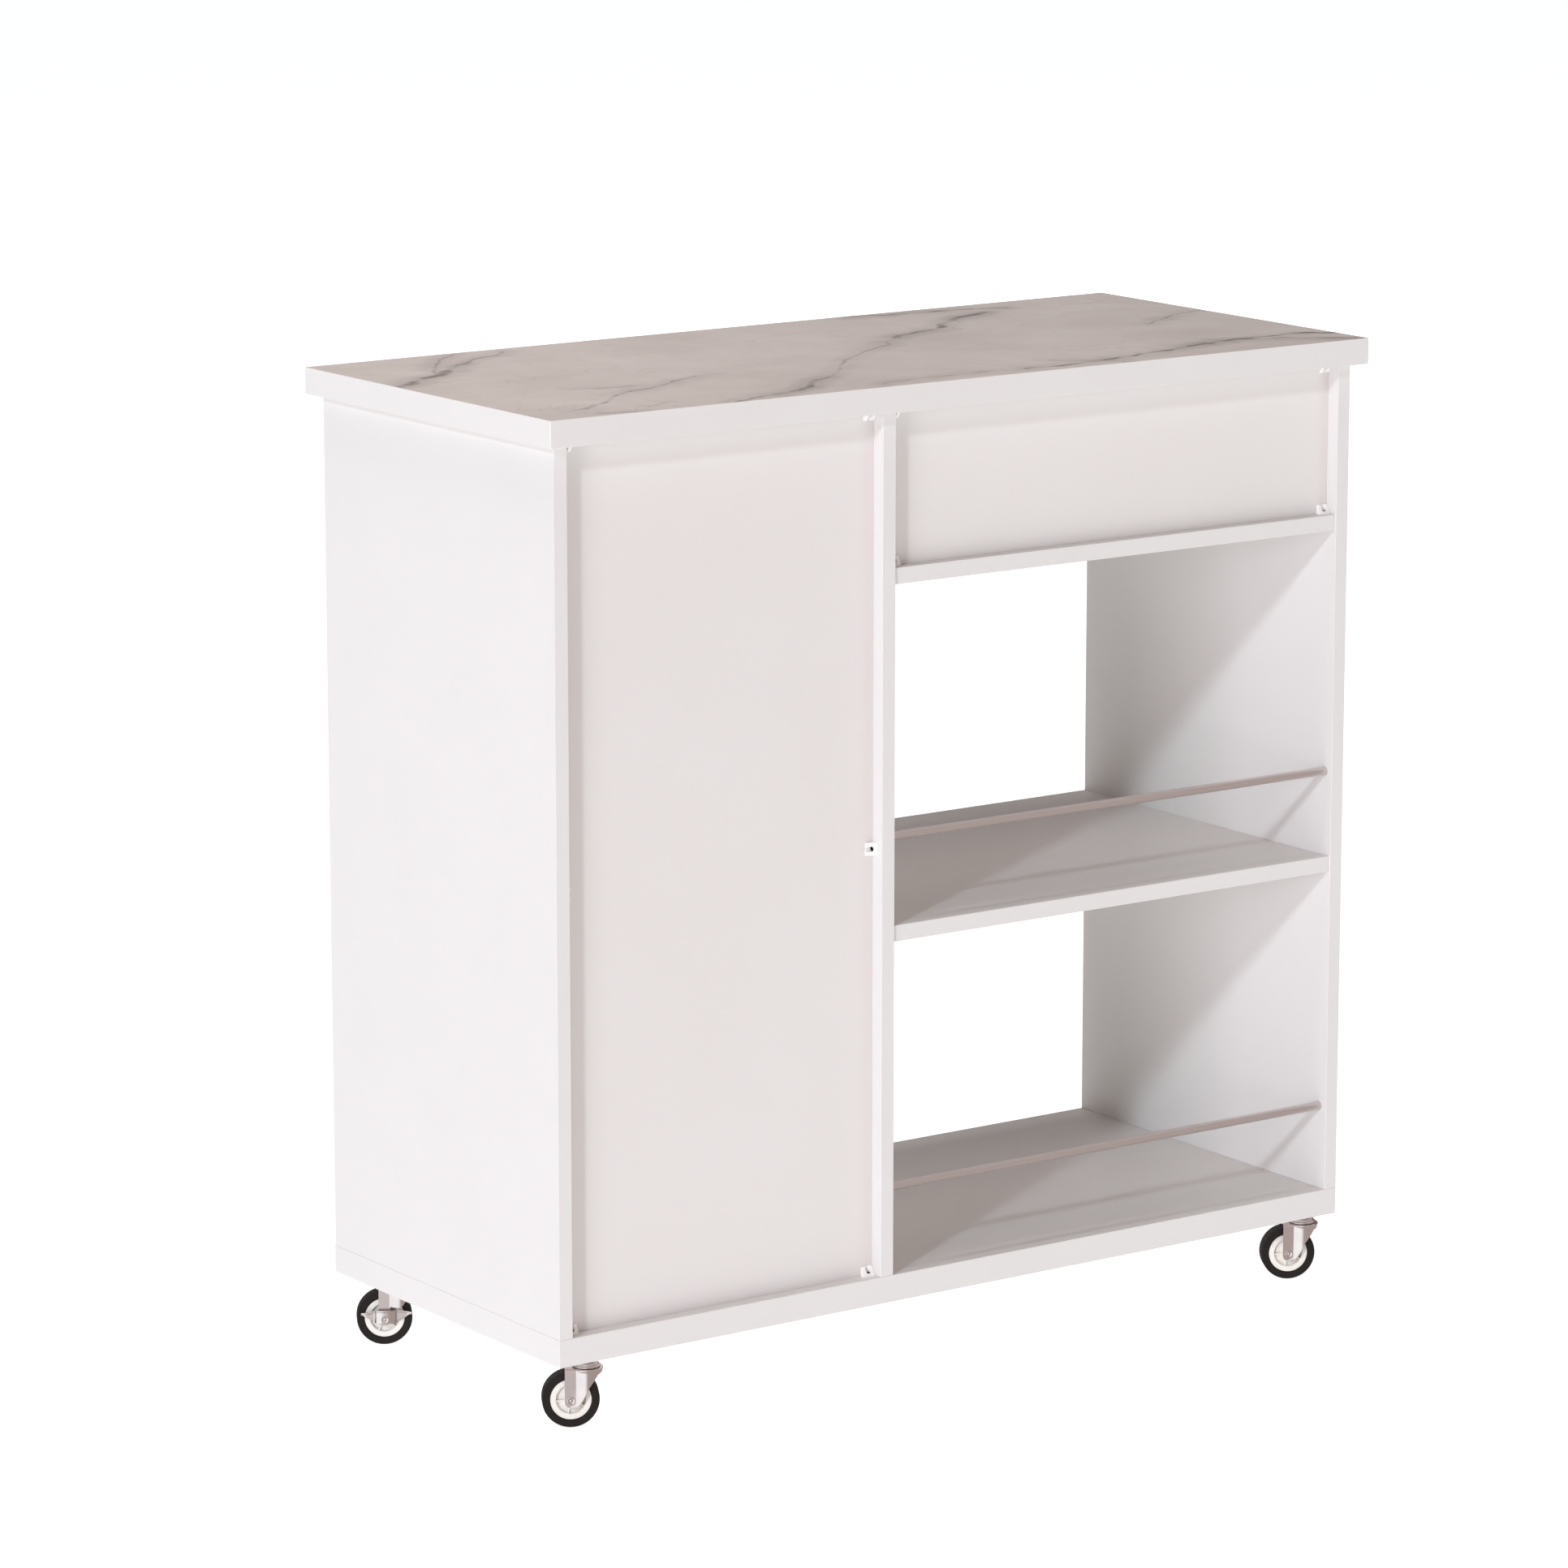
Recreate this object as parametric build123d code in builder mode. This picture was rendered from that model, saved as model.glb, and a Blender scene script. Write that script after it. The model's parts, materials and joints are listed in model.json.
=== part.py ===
"""Rolling kitchen cart: a cupboard with a hinged door, a drawer over two open shelves, four swivel casters.

All sizes are in millimetres. The origin is on the floor under the middle of the cart's outline,
+Z is up, the door and the drawer face -Y, and the cupboard is on the +X side.
"""
import os
from math import cos, radians, sin

from build123d import *

os.makedirs("parts", exist_ok=True)

# Overall sizes
cart_width = 900.0
cart_height = 900.0
top_depth = 400.0
side_overhang = 11.0
end_overhang = 13.0
pull_reach = 28.0

# Boards
top_t = 24.0
laminate_t = 0.8
bottom_t = 25.0
bottom_lip = 1.0
upright_t = 14.0
shelf_t = 15.0
eased = 0.5
top_eased = 1.0

# Bays: clear width of the cupboard, clear heights of the lower shelf bay and of the drawer bay
cupboard_w = 331.4
lower_bay_h = 307.4
drawer_bay_h = 140.2
shelf_back_inset = 2.0

# Back panels, in grooves
back_t = 3.0
back_recess = 14.0
groove_depth = 4.0
groove_play = 0.2

# Clips that hold the back panels, and the small screws used all over
clip_across = 8.5
clip_proud = 6.0
clip_thin = 1.5
clip_long = 11.5
clip_floor = 3.0
clip_clear = 0.3
clip_screw_out = 2.7
small_screw_r = 1.4
small_screw_l = 12.0
small_head_r = 2.4
small_head_h = 0.9
head_play = 0.2
cross_w = 0.8
cross_depth = 0.6
cross_of_head = 0.6

# Furniture fittings: cam locks with their bolts, wooden dowels, long screws under the bottom board
fit_play = 0.05
end_play = 0.3
fitting_inset = 60.0
cam_r = 7.5
cam_h = 11.0
cam_reach = 24.0
cam_pocket_r = 3.9
cam_cross_w = 1.6
cam_cross_depth = 2.0
bolt_thread_r = 3.0
bolt_thread_l = 11.0
bolt_shank_r = 3.5
bolt_shank_l = 16.0
bolt_neck_r = 2.0
bolt_neck_l = 5.5
bolt_head_r = 3.2
bolt_head_l = 4.0
dowel_r = 4.0
dowel_short = 9.0
dowel_long = 16.0
dowel_inset = 110.0
long_screw_r = 3.0
long_screw_l = 55.0
long_head_r = 4.5
long_head_h = 3.0

# Guard rails at the back of the open shelves
rail_r = 4.0
rail_above_shelf = 80.0
rail_inset = 10.0
rail_wall = 6.0

# Loose shelves in the cupboard, on pins
loose_shelf_side_gap = 1.0
loose_shelf_setback = 22.0
loose_shelf_back_gap = 2.0
loose_shelf_lift = (240.0, 510.0)
pin_r = 2.5
pin_in = 9.0
pin_out = 7.0
pin_collar_r = 4.0
pin_collar_t = 1.5
pin_inset = 35.0
pin_pitch = 32.0
pin_holes = 5

# Door, drawer and the gaps round them
front_t = 15.0
front_gap = 2.0

# Bar pulls
pull_bar_r = 5.0
pull_bar_l = 160.0
pull_centres = 128.0
pull_post_r = 4.0
door_pull_inset = 40.0
door_pull_drop = 274.0
pull_screw_r = 2.0
pull_screw_in = 8.0
pull_head_r = 4.0
pull_head_h = 2.2
pull_head_eased = 0.7

# Butt hinges: two leaves on a pin that stands in front of the door
hinge_h = 50.0
hinge_inset = 90.0
leaf_t = 0.9
leaf_depth = 14.0
knuckle_r = 3.0
knuckle_bore_r = 1.5
knuckles = 5
knuckle_gap = 0.2
knuckle_clear = 0.4
pin_play = 0.05
hinge_screw_y = 8.0
hinge_screw_rows = (-17.0, 0.0, 17.0)

# Magnetic catch
catch_w = 15.0
catch_d = 16.0
catch_h = 46.0
catch_drop = 134.0
catch_screw_inset = 5.0
catch_wall = 2.5
strike_t = 1.0
strike_gap = 0.2
strike_h = 38.0
strike_inset = 1.0

# Drawer box
runner_space = 12.7
drawer_side_t = 12.0
drawer_side_h = 90.0
drawer_lift = 18.0
drawer_length = 300.0
drawer_floor_t = 3.0
drawer_floor_lift = 10.0
drawer_groove = 4.0
drawer_screw_r = 2.5
drawer_screw_l = 40.0
drawer_screw_head_r = 4.0
drawer_screw_head_h = 2.0
drawer_fitting_z = 28.0
drawer_cam_h = 9.5

# Ball runners
runner_h = 35.0
runner_sheet = 1.2
runner_start = 3.0
runner_flange = 10.0
runner_lip = 1.5
ball_r = 1.9
ball_play = 0.1
ball_x = 6.0
ball_pitch = 16.0
balls_in_row = 5
cage_sheet = 0.8
cage_clear = 0.8
cage_x = 2.4
cage_reach = 8.2
cage_margin = 8.0
cage_hole_play = 0.2
drawer_travel = 200.0
cage_stop = 10.0
runner_screw_y = (35.0, 265.0)

# Casters
wheel_r = 25.5
wheel_w = 17.0
wheel_gap = 1.2
crown_gap = 1.5
tyre_bore_r = 18.4
tyre_shoulder = 2.0
rim_w = 14.0
rim_inner_r = 13.5
web_t = 3.0
hub_r = 6.0
hub_w = 16.0
ribs = 5
rib_t = 1.4
rib_let_in = 0.5
rib_w = 11.0
rib_turn_plain = 46.0
rib_turn_braked = 29.0
wheel_inset_x = 32.0
wheel_inset_y = 32.0
caster_trail = 14.0
caster_turn = 30.0
fork_sheet = 1.5
fork_head_r = 14.3
fork_lip = 0.6
leg_half = 5.5
leg_drop = 6.6
leg_corner = 2.1
skirt_foot = 2.6
skirt_front_run = 4.5
skirt_front_depth = 5.6
skirt_flare = 3.5
skirt_over_lever = 1.8
axle_r = 3.0
axle_head_r = 4.2
axle_head_t = 1.0
kingpin_r = 4.0
kingpin_head_r = 5.5
kingpin_head_t = 1.8
kingpin_gap = 0.2
cup_r = 12.6
cup_sheet = 1.5
cup_gap = 0.3
swivel_ball_r = 1.4
swivel_balls_ring = 9.0
swivel_balls_count = 12
swivel_ball_gap = 0.1
hex_af = 13.0
hex_h = 6.6
stem_r = 4.0
stem_l = 18.0
nut_r = 5.5
nut_l = 19.0

# Brake levers on the two front casters
lever_sheet = 1.2
lever_bulge = 3.9
lever_bulge_half = 9.0
lever_shift = 0.6
lever_left = 21.5
lever_right = 24.3
lever_up = 8.7
lever_down = 3.8
lever_wing_up = 6.0
lever_wing_down = 2.6
lever_ledge = 1.6
lever_taper = 5.0
lever_shoulder = 1.0

# Levels of a caster, from the wheel up, and its reach to each side
fork_top = 2 * wheel_r + crown_gap + fork_sheet
cup_low = fork_top + cup_gap
ball_level = fork_top + swivel_ball_gap + swivel_ball_r
cup_roof = ball_level + swivel_ball_r
cup_top = cup_roof + cup_sheet
kingpin_low = fork_top - fork_sheet - kingpin_gap - kingpin_head_t
lever_wing = wheel_w / 2 + wheel_gap
fork_half = lever_wing + fork_sheet

# Levels
bottom_under = cup_top + hex_h
bottom_top = bottom_under + bottom_t
top_under = cart_height - top_t
drawer_bay_floor = top_under - drawer_bay_h
drawer_shelf_under = drawer_bay_floor - shelf_t
mid_shelf_under = bottom_top + lower_bay_h
mid_shelf_top = mid_shelf_under + shelf_t

# Depth of the rails' sockets, which leaves a wall of the upright behind them
rail_let_in = upright_t - rail_wall

# Faces across the cart
side_outer = cart_width / 2 - side_overhang
side_inner = side_outer - upright_t
divider_right = side_inner - cupboard_w
divider_left = divider_right - upright_t
side_mid = (side_outer + side_inner) / 2
divider_mid = (divider_right + divider_left) / 2

# Faces front to back; the pulls reach out in front as far as the top does behind
body_depth = top_depth - 2 * end_overhang
body_front = (pull_reach - body_depth - end_overhang) / 2
body_back = body_front + body_depth
top_front = body_front - end_overhang
top_back = body_back + end_overhang
panel_back = body_back - back_recess
panel_front = panel_back - back_t
front_back = body_front + front_t

fitting_ys = (body_front + fitting_inset, body_back - fitting_inset)
dowel_ys = (body_front + dowel_inset, body_back - dowel_inset)
left, right, forward, back, up, down = (-1, 0, 0), (1, 0, 0), (0, -1, 0), (0, 1, 0), (0, 0, 1), (0, 0, -1)
# How far a cut runs past the face that it opens
beyond = 1.0
inwards = (Align.CENTER, Align.CENTER, Align.MAX)
outwards = (Align.CENTER, Align.CENTER, Align.MIN)


def slab(x_span, y_span, z_span, mode=Mode.ADD):
    """A block in the part being built, between three pairs of faces."""
    spans = (x_span, y_span, z_span)
    with Locations(tuple((low + high) / 2 for low, high in spans)):
        Box(*(high - low for low, high in spans), mode=mode)


def keep(made, name):
    """Label a finished piece and write it."""
    made.part.label = name
    export_step(made.part, f"parts/{name}.step")


def round_bar(plane, radius, length, mode=Mode.ADD):
    """A round bar or hole in the part being built, from a plane along its normal."""
    with Locations(plane):
        Cylinder(radius, length, align=outwards, mode=mode)


def faces_at(points, normal):
    """Planes at the given points, all facing along one normal."""
    return [Plane(origin=point, z_dir=normal) for point in points]


def drill(planes, radius, depth):
    """Blind round holes in the part being built, straight in from each plane."""
    with Locations(*planes):
        Cylinder(radius, depth, align=inwards, mode=Mode.SUBTRACT)


def countersink(planes):
    """Holes for the small screws through sheet metal, flush on each plane."""
    with Locations(*planes):
        Cone(small_screw_r + fit_play, small_head_r + fit_play, small_head_h, align=inwards, mode=Mode.SUBTRACT)
        Cylinder(small_screw_r + fit_play, small_screw_l, align=inwards, mode=Mode.SUBTRACT)


def pilot(planes, sheet):
    """Holes in a board for the small screws whose heads lie in sheet of the given thickness on it."""
    drill(planes, small_screw_r + fit_play, small_screw_l - sheet + end_play)


def cam_bores(bolt_planes, face_normal, face_depth):
    """Bores in a board's end for the bolts, and in its face for the cams that take them."""
    with Locations(*bolt_planes):
        Cylinder(bolt_shank_r + fit_play, cam_reach, align=outwards, mode=Mode.SUBTRACT)
    drill(cam_faces(bolt_planes, face_normal, face_depth), cam_r, cam_h)


def cam_faces(bolt_planes, face_normal, face_depth):
    """Planes of the cams' faces: along each bolt, then out to the board's face."""
    out = Vector(*face_normal) * face_depth
    return faces_at([p.origin + p.z_dir * cam_reach + out for p in bolt_planes], face_normal)


def dowel_holes(planes, long_side):
    """Holes for dowels, into the board on the long or the short side of each plane."""
    length = dowel_long if long_side else dowel_short
    with Locations(*planes):
        Cylinder(
            dowel_r + fit_play,
            length + end_play,
            align=outwards if long_side else inwards,
            mode=Mode.SUBTRACT,
        )


# Places of the fittings. A bolt's or a dowel's plane lies on the joint and faces into the board's end.
upright_mids = (-side_mid, divider_mid, side_mid)
top_bolts = {x: faces_at([(x, y, top_under) for y in fitting_ys], down) for x in upright_mids}
top_dowels = {x: faces_at([(x, y, top_under) for y in dowel_ys], down) for x in upright_mids}
bottom_dowels = {x: faces_at([(x, y, bottom_top) for y in dowel_ys], up) for x in upright_mids}
long_screws = {x: faces_at([(x, y, bottom_under) for y in fitting_ys], down) for x in upright_mids}


def shelf_ends(shelf_under, ys):
    """Planes at both ends of a fixed shelf, at half its thickness, facing into the shelf."""
    z = shelf_under + shelf_t / 2
    at_side = faces_at([(-side_inner, y, z) for y in ys], right)
    at_divider = faces_at([(divider_left, y, z) for y in ys], left)
    return at_side, at_divider


shelf_unders = (mid_shelf_under, drawer_shelf_under)
shelf_bolts = {z: shelf_ends(z, fitting_ys) for z in shelf_unders}
shelf_dowels = {z: shelf_ends(z, dowel_ys) for z in shelf_unders}

# Places of the guard rails, the pins and the loose shelves
rail_y = body_back - rail_inset
rail_zs = (bottom_top + rail_above_shelf, mid_shelf_top + rail_above_shelf)
loose_shelf_z = [bottom_top + lift for lift in loose_shelf_lift]
loose_front = front_back + loose_shelf_setback
loose_back = panel_front - loose_shelf_back_gap
pin_ys = (loose_front + pin_inset, loose_back - pin_inset)


def pin_points(x, rows):
    """Points of the pin holes on one face, for each loose shelf, the given number of rows high."""
    steps = [pin_pitch * (row - (rows - 1) / 2) for row in range(rows)]
    return [(x, y, z - pin_r + step) for z in loose_shelf_z for y in pin_ys for step in steps]


# Places of the small screws. Each plane is on the head's face, and the screw runs in behind it.
def mid_clip_screws(x, normal):
    """Planes of the screws in the clip half way up an upright's face."""
    seat = x + normal[0] * clip_floor
    return faces_at([(seat, panel_back + clip_screw_out, (bottom_top + top_under) / 2)], normal)


def corner_clip_points(x, normal, z):
    """Points of a corner clip's screw: beside an upright's face, on a board's face at height z."""
    return (x + normal[0] * (clip_clear + clip_long / 2), panel_back + clip_screw_out, z)


cupboard_faces = ((divider_right, right), (side_inner, left))
drawer_faces = ((-side_inner, right), (divider_left, left))
top_clip_screws = faces_at(
    [corner_clip_points(x, n, top_under - clip_floor) for x, n in cupboard_faces + drawer_faces], down
)
bottom_clip_screws = faces_at([corner_clip_points(x, n, bottom_top + clip_floor) for x, n in cupboard_faces], up)
drawer_clip_screws = faces_at([corner_clip_points(x, n, drawer_bay_floor + clip_floor) for x, n in drawer_faces], up)

# Drawer box and runners
drawer_low = drawer_bay_floor + drawer_lift
drawer_high = drawer_low + drawer_side_h
drawer_rear = front_back + drawer_length
box_left = -side_inner + runner_space
box_right = divider_left - runner_space
runner_z = drawer_low + drawer_side_h / 2
runner_y = front_back + runner_start
runner_l = drawer_length - runner_start


def runner_points(x):
    """Points of the runner's screws on the plane x."""
    return [(x, runner_y + y, runner_z) for y in runner_screw_y]


# Door and hinges
door_left = divider_right + front_gap
door_right = side_inner - front_gap
door_low = bottom_top + front_gap
door_high = top_under - front_gap
hinge_axis_x = side_inner - front_gap / 2
hinge_axis_y = body_front - knuckle_r - knuckle_clear
hinge_zs = (door_low + hinge_inset, door_high - hinge_inset)
catch_z = door_high - catch_drop
door_pull_z = door_high - door_pull_drop


def hinge_points(x):
    """Points of the hinge screws on the plane x."""
    return [(x, body_front + hinge_screw_y, z + row) for z in hinge_zs for row in hinge_screw_rows]


catch_front = front_back + strike_t + strike_gap
catch_screw_dz = catch_h / 2 - catch_screw_inset
catch_screws = faces_at(
    [(divider_right + catch_wall, catch_front + catch_d / 2, catch_z + dz) for dz in (-catch_screw_dz, catch_screw_dz)],
    right,
)

# Casters: wheels at equal insets, all trailing the same way, so the stems lie off to one side of them
to_swivel = Vector(-cos(radians(caster_turn)), sin(radians(caster_turn)), 0)
axle_dir = Vector(sin(radians(caster_turn)), cos(radians(caster_turn)), 0)
wheel_x = side_outer - wheel_inset_x
wheel_ys = (body_front + wheel_inset_y, body_back - wheel_inset_y)
wheel_centres = {
    "front_left": Vector(-wheel_x, wheel_ys[0], wheel_r),
    "front_right": Vector(wheel_x, wheel_ys[0], wheel_r),
    "rear_left": Vector(-wheel_x, wheel_ys[1], wheel_r),
    "rear_right": Vector(wheel_x, wheel_ys[1], wheel_r),
}
braked = ("front_left", "front_right")
swivel_axes = {name: centre + to_swivel * caster_trail for name, centre in wheel_centres.items()}
stem_planes = faces_at([(axis.X, axis.Y, bottom_under) for axis in swivel_axes.values()], down)


# Top: a thick board with a laminate sheet on it
with BuildPart() as top_board:
    slab((-cart_width / 2, cart_width / 2), (top_front, top_back), (top_under, cart_height - laminate_t))
    fillet(top_board.edges().filter_by(Axis.Z), top_eased)
    fillet(top_board.faces().sort_by(Axis.Z)[0].edges(), eased)
    for x in upright_mids:
        drill(faces_at([p.origin for p in top_bolts[x]], down), bolt_thread_r + fit_play, bolt_thread_l + end_play)
        dowel_holes(top_dowels[x], False)
    pilot(faces_at([(p.origin.X, p.origin.Y, top_under) for p in top_clip_screws], down), clip_floor)
keep(top_board, "top_board")

with BuildPart() as top_laminate:
    slab((-cart_width / 2, cart_width / 2), (top_front, top_back), (cart_height - laminate_t, cart_height))
    fillet(top_laminate.edges().filter_by(Axis.Z), top_eased)
    chamfer(top_laminate.faces().sort_by(Axis.Z)[-1].edges(), laminate_t / 2)
keep(top_laminate, "top_laminate")

# Bottom board, through which the stems and the long screws go
with BuildPart() as bottom_board:
    slab((-side_outer, side_outer), (body_front - bottom_lip, body_back), (bottom_under, bottom_top))
    fillet(bottom_board.edges(), eased)
    slab(
        (divider_right - groove_depth, side_inner + groove_depth),
        (panel_front - groove_play / 2, panel_back + groove_play / 2),
        (bottom_top - groove_depth, bottom_top),
        mode=Mode.SUBTRACT,
    )
    for x in upright_mids:
        drill(long_screws[x], long_screw_r + fit_play, bottom_t)
        drill(long_screws[x], long_head_r + fit_play, long_head_h)
        dowel_holes(bottom_dowels[x], False)
    pilot(faces_at([(p.origin.X, p.origin.Y, bottom_top) for p in bottom_clip_screws], up), clip_floor)
    drill(stem_planes, nut_r + fit_play, nut_l + end_play)
keep(bottom_board, "bottom_board")


def upright_ends(x):
    """Dowel and screw holes in both ends of the upright at x."""
    dowel_holes(top_dowels[x], True)
    dowel_holes(bottom_dowels[x], True)
    for plane in long_screws[x]:
        end = Plane(origin=(x, plane.origin.Y, bottom_top), z_dir=down)
        drill([end], long_screw_r + fit_play, long_screw_l - bottom_t + end_play)


def upright_groove(x, normal, low):
    """Upright groove for a back panel, in the face at x, from a level up to the top board."""
    bottom = x - normal[0] * groove_depth
    slab(
        (min(x, bottom), max(x, bottom)),
        (panel_front - groove_play / 2, panel_back + groove_play / 2),
        (low, top_under),
        mode=Mode.SUBTRACT,
    )


def shelf_holes(normal, side):
    """Holes that the fixed shelves' bolts and dowels go into, in one upright's face."""
    for z in shelf_unders:
        drill(
            faces_at([p.origin for p in shelf_bolts[z][side]], normal),
            bolt_thread_r + fit_play,
            bolt_thread_l + end_play,
        )
        dowel_holes(shelf_dowels[z][side], False)


def rail_sockets(x, normal):
    """Sockets for the guard rails' ends in one upright's face."""
    drill(faces_at([(x, rail_y, z) for z in rail_zs], normal), rail_r + fit_play, rail_let_in + end_play)


def pin_rows(x, normal):
    """Rows of holes for the loose shelves' pins in one upright's face."""
    drill(faces_at(pin_points(x, pin_holes), normal), pin_r + fit_play, pin_in + end_play)


# Side panel of the cupboard, with the hinges on it
with BuildPart() as cupboard_side_panel:
    slab((side_inner, side_outer), (body_front, body_back), (bottom_top, top_under))
    fillet(cupboard_side_panel.edges(), eased)
    upright_groove(side_inner, left, bottom_top)
    upright_ends(side_mid)
    cam_bores(top_bolts[side_mid], left, upright_t / 2)
    pin_rows(side_inner, left)
    pilot(faces_at(hinge_points(side_inner), left), leaf_t)
    drill(
        faces_at([(side_inner, p.origin.Y, p.origin.Z) for p in mid_clip_screws(side_inner, left)], left),
        small_screw_r + fit_play,
        small_screw_l - clip_floor + end_play,
    )
keep(cupboard_side_panel, "cupboard_side_panel")

# Side panel of the open shelves
with BuildPart() as shelf_side_panel:
    slab((-side_outer, -side_inner), (body_front, body_back), (bottom_top, top_under))
    fillet(shelf_side_panel.edges(), eased)
    upright_groove(-side_inner, right, drawer_bay_floor - groove_depth)
    upright_ends(-side_mid)
    cam_bores(top_bolts[-side_mid], right, upright_t / 2)
    shelf_holes(right, 0)
    rail_sockets(-side_inner, right)
    pilot(faces_at(runner_points(-side_inner), right), runner_sheet)
keep(shelf_side_panel, "shelf_side_panel")

# Upright between the cupboard and the open shelves
with BuildPart() as divider_panel:
    slab((divider_left, divider_right), (body_front, body_back), (bottom_top, top_under))
    fillet(divider_panel.edges(), eased)
    upright_groove(divider_right, right, bottom_top)
    upright_groove(divider_left, left, drawer_bay_floor - groove_depth)
    upright_ends(divider_mid)
    cam_bores(top_bolts[divider_mid], right, upright_t / 2)
    shelf_holes(left, 1)
    rail_sockets(divider_left, left)
    pin_rows(divider_right, right)
    pilot(faces_at(runner_points(divider_left), left), runner_sheet)
    drill(
        faces_at([(divider_right, p.origin.Y, p.origin.Z) for p in mid_clip_screws(divider_right, right)], right),
        small_screw_r + fit_play,
        small_screw_l - clip_floor + end_play,
    )
    drill(
        faces_at([(divider_right, p.origin.Y, p.origin.Z) for p in catch_screws], right),
        small_screw_r + fit_play,
        small_screw_l - catch_wall + end_play,
    )
keep(divider_panel, "divider_panel")


def fixed_shelf(under):
    """Cut the cam and dowel bores in both ends of the fixed shelf being built."""
    for bolts in shelf_bolts[under]:
        cam_bores(bolts, down, shelf_t / 2)
    for dowels in shelf_dowels[under]:
        dowel_holes(dowels, True)


# Fixed shelves in the open bay; the upper one is also the drawer bay's floor
with BuildPart() as mid_shelf:
    slab(
        (-side_inner, divider_left),
        (body_front, body_back - shelf_back_inset),
        (mid_shelf_under, mid_shelf_top),
    )
    fillet(mid_shelf.edges(), eased)
    fixed_shelf(mid_shelf_under)
keep(mid_shelf, "mid_shelf")

with BuildPart() as drawer_bay_shelf:
    slab(
        (-side_inner, divider_left),
        (body_front, body_back - shelf_back_inset),
        (drawer_shelf_under, drawer_bay_floor),
    )
    fillet(drawer_bay_shelf.edges(), eased)
    fixed_shelf(drawer_shelf_under)
    slab(
        (-side_inner, divider_left),
        (panel_front - groove_play / 2, panel_back + groove_play / 2),
        (drawer_bay_floor - groove_depth, drawer_bay_floor),
        mode=Mode.SUBTRACT,
    )
    pilot(faces_at([(p.origin.X, p.origin.Y, drawer_bay_floor) for p in drawer_clip_screws], up), clip_floor)
keep(drawer_bay_shelf, "drawer_bay_shelf")

# Thin back panels, with a little play at the end of every groove
groove_fill = groove_depth - end_play
with BuildPart() as cupboard_back_panel:
    slab(
        (divider_right - groove_fill, side_inner + groove_fill),
        (panel_front, panel_back),
        (bottom_top - groove_fill, top_under - end_play),
    )
keep(cupboard_back_panel, "cupboard_back_panel")

with BuildPart() as drawer_back_panel:
    slab(
        (-side_inner - groove_fill, divider_left + groove_fill),
        (panel_front, panel_back),
        (drawer_bay_floor - groove_fill, top_under - end_play),
    )
keep(drawer_back_panel, "drawer_back_panel")

# Back panel clips: wedges that bear on the panel and on an upright or a board
with BuildPart() as back_panel_clips:
    mid_z = (bottom_top + top_under) / 2
    for x, normal in cupboard_faces:
        with BuildSketch(Plane.XY.offset(mid_z - clip_long / 2)):
            with BuildLine():
                Polyline(
                    (x, panel_back),
                    (x + normal[0] * clip_across, panel_back),
                    (x + normal[0] * clip_across, panel_back + clip_thin),
                    (x, panel_back + clip_proud),
                    close=True,
                )
            make_face()
        extrude(amount=clip_long)
    corner_rows = [(x, n, top_under, -1) for x, n in cupboard_faces + drawer_faces]
    corner_rows += [(x, n, bottom_top, 1) for x, n in cupboard_faces]
    corner_rows += [(x, n, drawer_bay_floor, 1) for x, n in drawer_faces]
    for x, normal, z, rise in corner_rows:
        near = x + normal[0] * clip_clear
        with BuildSketch(Plane.YZ.offset(min(near, near + normal[0] * clip_long))):
            with BuildLine():
                Polyline(
                    (panel_back, z),
                    (panel_back, z + rise * clip_across),
                    (panel_back + clip_thin, z + rise * clip_across),
                    (panel_back + clip_proud, z),
                    close=True,
                )
            make_face()
        extrude(amount=clip_long)
    clip_screws = top_clip_screws + bottom_clip_screws + drawer_clip_screws
    clip_screws += [p for x, n in cupboard_faces for p in mid_clip_screws(x, n)]
    with Locations(*clip_screws):
        Cylinder(small_head_r + head_play, clip_across, align=outwards, mode=Mode.SUBTRACT)
        Cone(
            small_screw_r + fit_play,
            small_head_r + fit_play,
            small_head_h,
            align=inwards,
            mode=Mode.SUBTRACT,
        )
        Cylinder(small_screw_r + fit_play, clip_floor, align=inwards, mode=Mode.SUBTRACT)
keep(back_panel_clips, "back_panel_clips")

# Guard rails: round bar let into the uprights
with BuildPart() as guard_rails:
    for z in rail_zs:
        with BuildSketch(Plane.YZ.offset(-side_inner - rail_let_in)):
            with Locations((rail_y, z)):
                Circle(rail_r)
        extrude(amount=side_inner + divider_left + 2 * rail_let_in)
keep(guard_rails, "guard_rails")

# Loose shelves and their pins
with BuildPart() as cupboard_shelves:
    for z in loose_shelf_z:
        slab(
            (divider_right + loose_shelf_side_gap, side_inner - loose_shelf_side_gap),
            (loose_front, loose_back),
            (z, z + shelf_t),
        )
    fillet(cupboard_shelves.edges(), eased)
keep(cupboard_shelves, "cupboard_shelves")

with BuildPart() as shelf_pins:
    for x, normal in cupboard_faces:
        with Locations(*faces_at(pin_points(x, 1), normal)):
            Cylinder(pin_r, pin_in, align=inwards)
            Cylinder(pin_r, pin_out, align=outwards)
            Cylinder(pin_collar_r, pin_collar_t, align=outwards)
    for z in loose_shelf_z:
        slab(
            (divider_right, side_inner),
            (loose_front, loose_back),
            (z, z + pin_collar_r),
            mode=Mode.SUBTRACT,
        )
keep(shelf_pins, "shelf_pins")

# Cam locks, bolts and dowels of the carcass
cam_sets = [(top_bolts[side_mid], left, upright_t / 2), (top_bolts[-side_mid], right, upright_t / 2)]
cam_sets += [(top_bolts[divider_mid], right, upright_t / 2)]
cam_sets += [(bolts, down, shelf_t / 2) for z in shelf_unders for bolts in shelf_bolts[z]]


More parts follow.
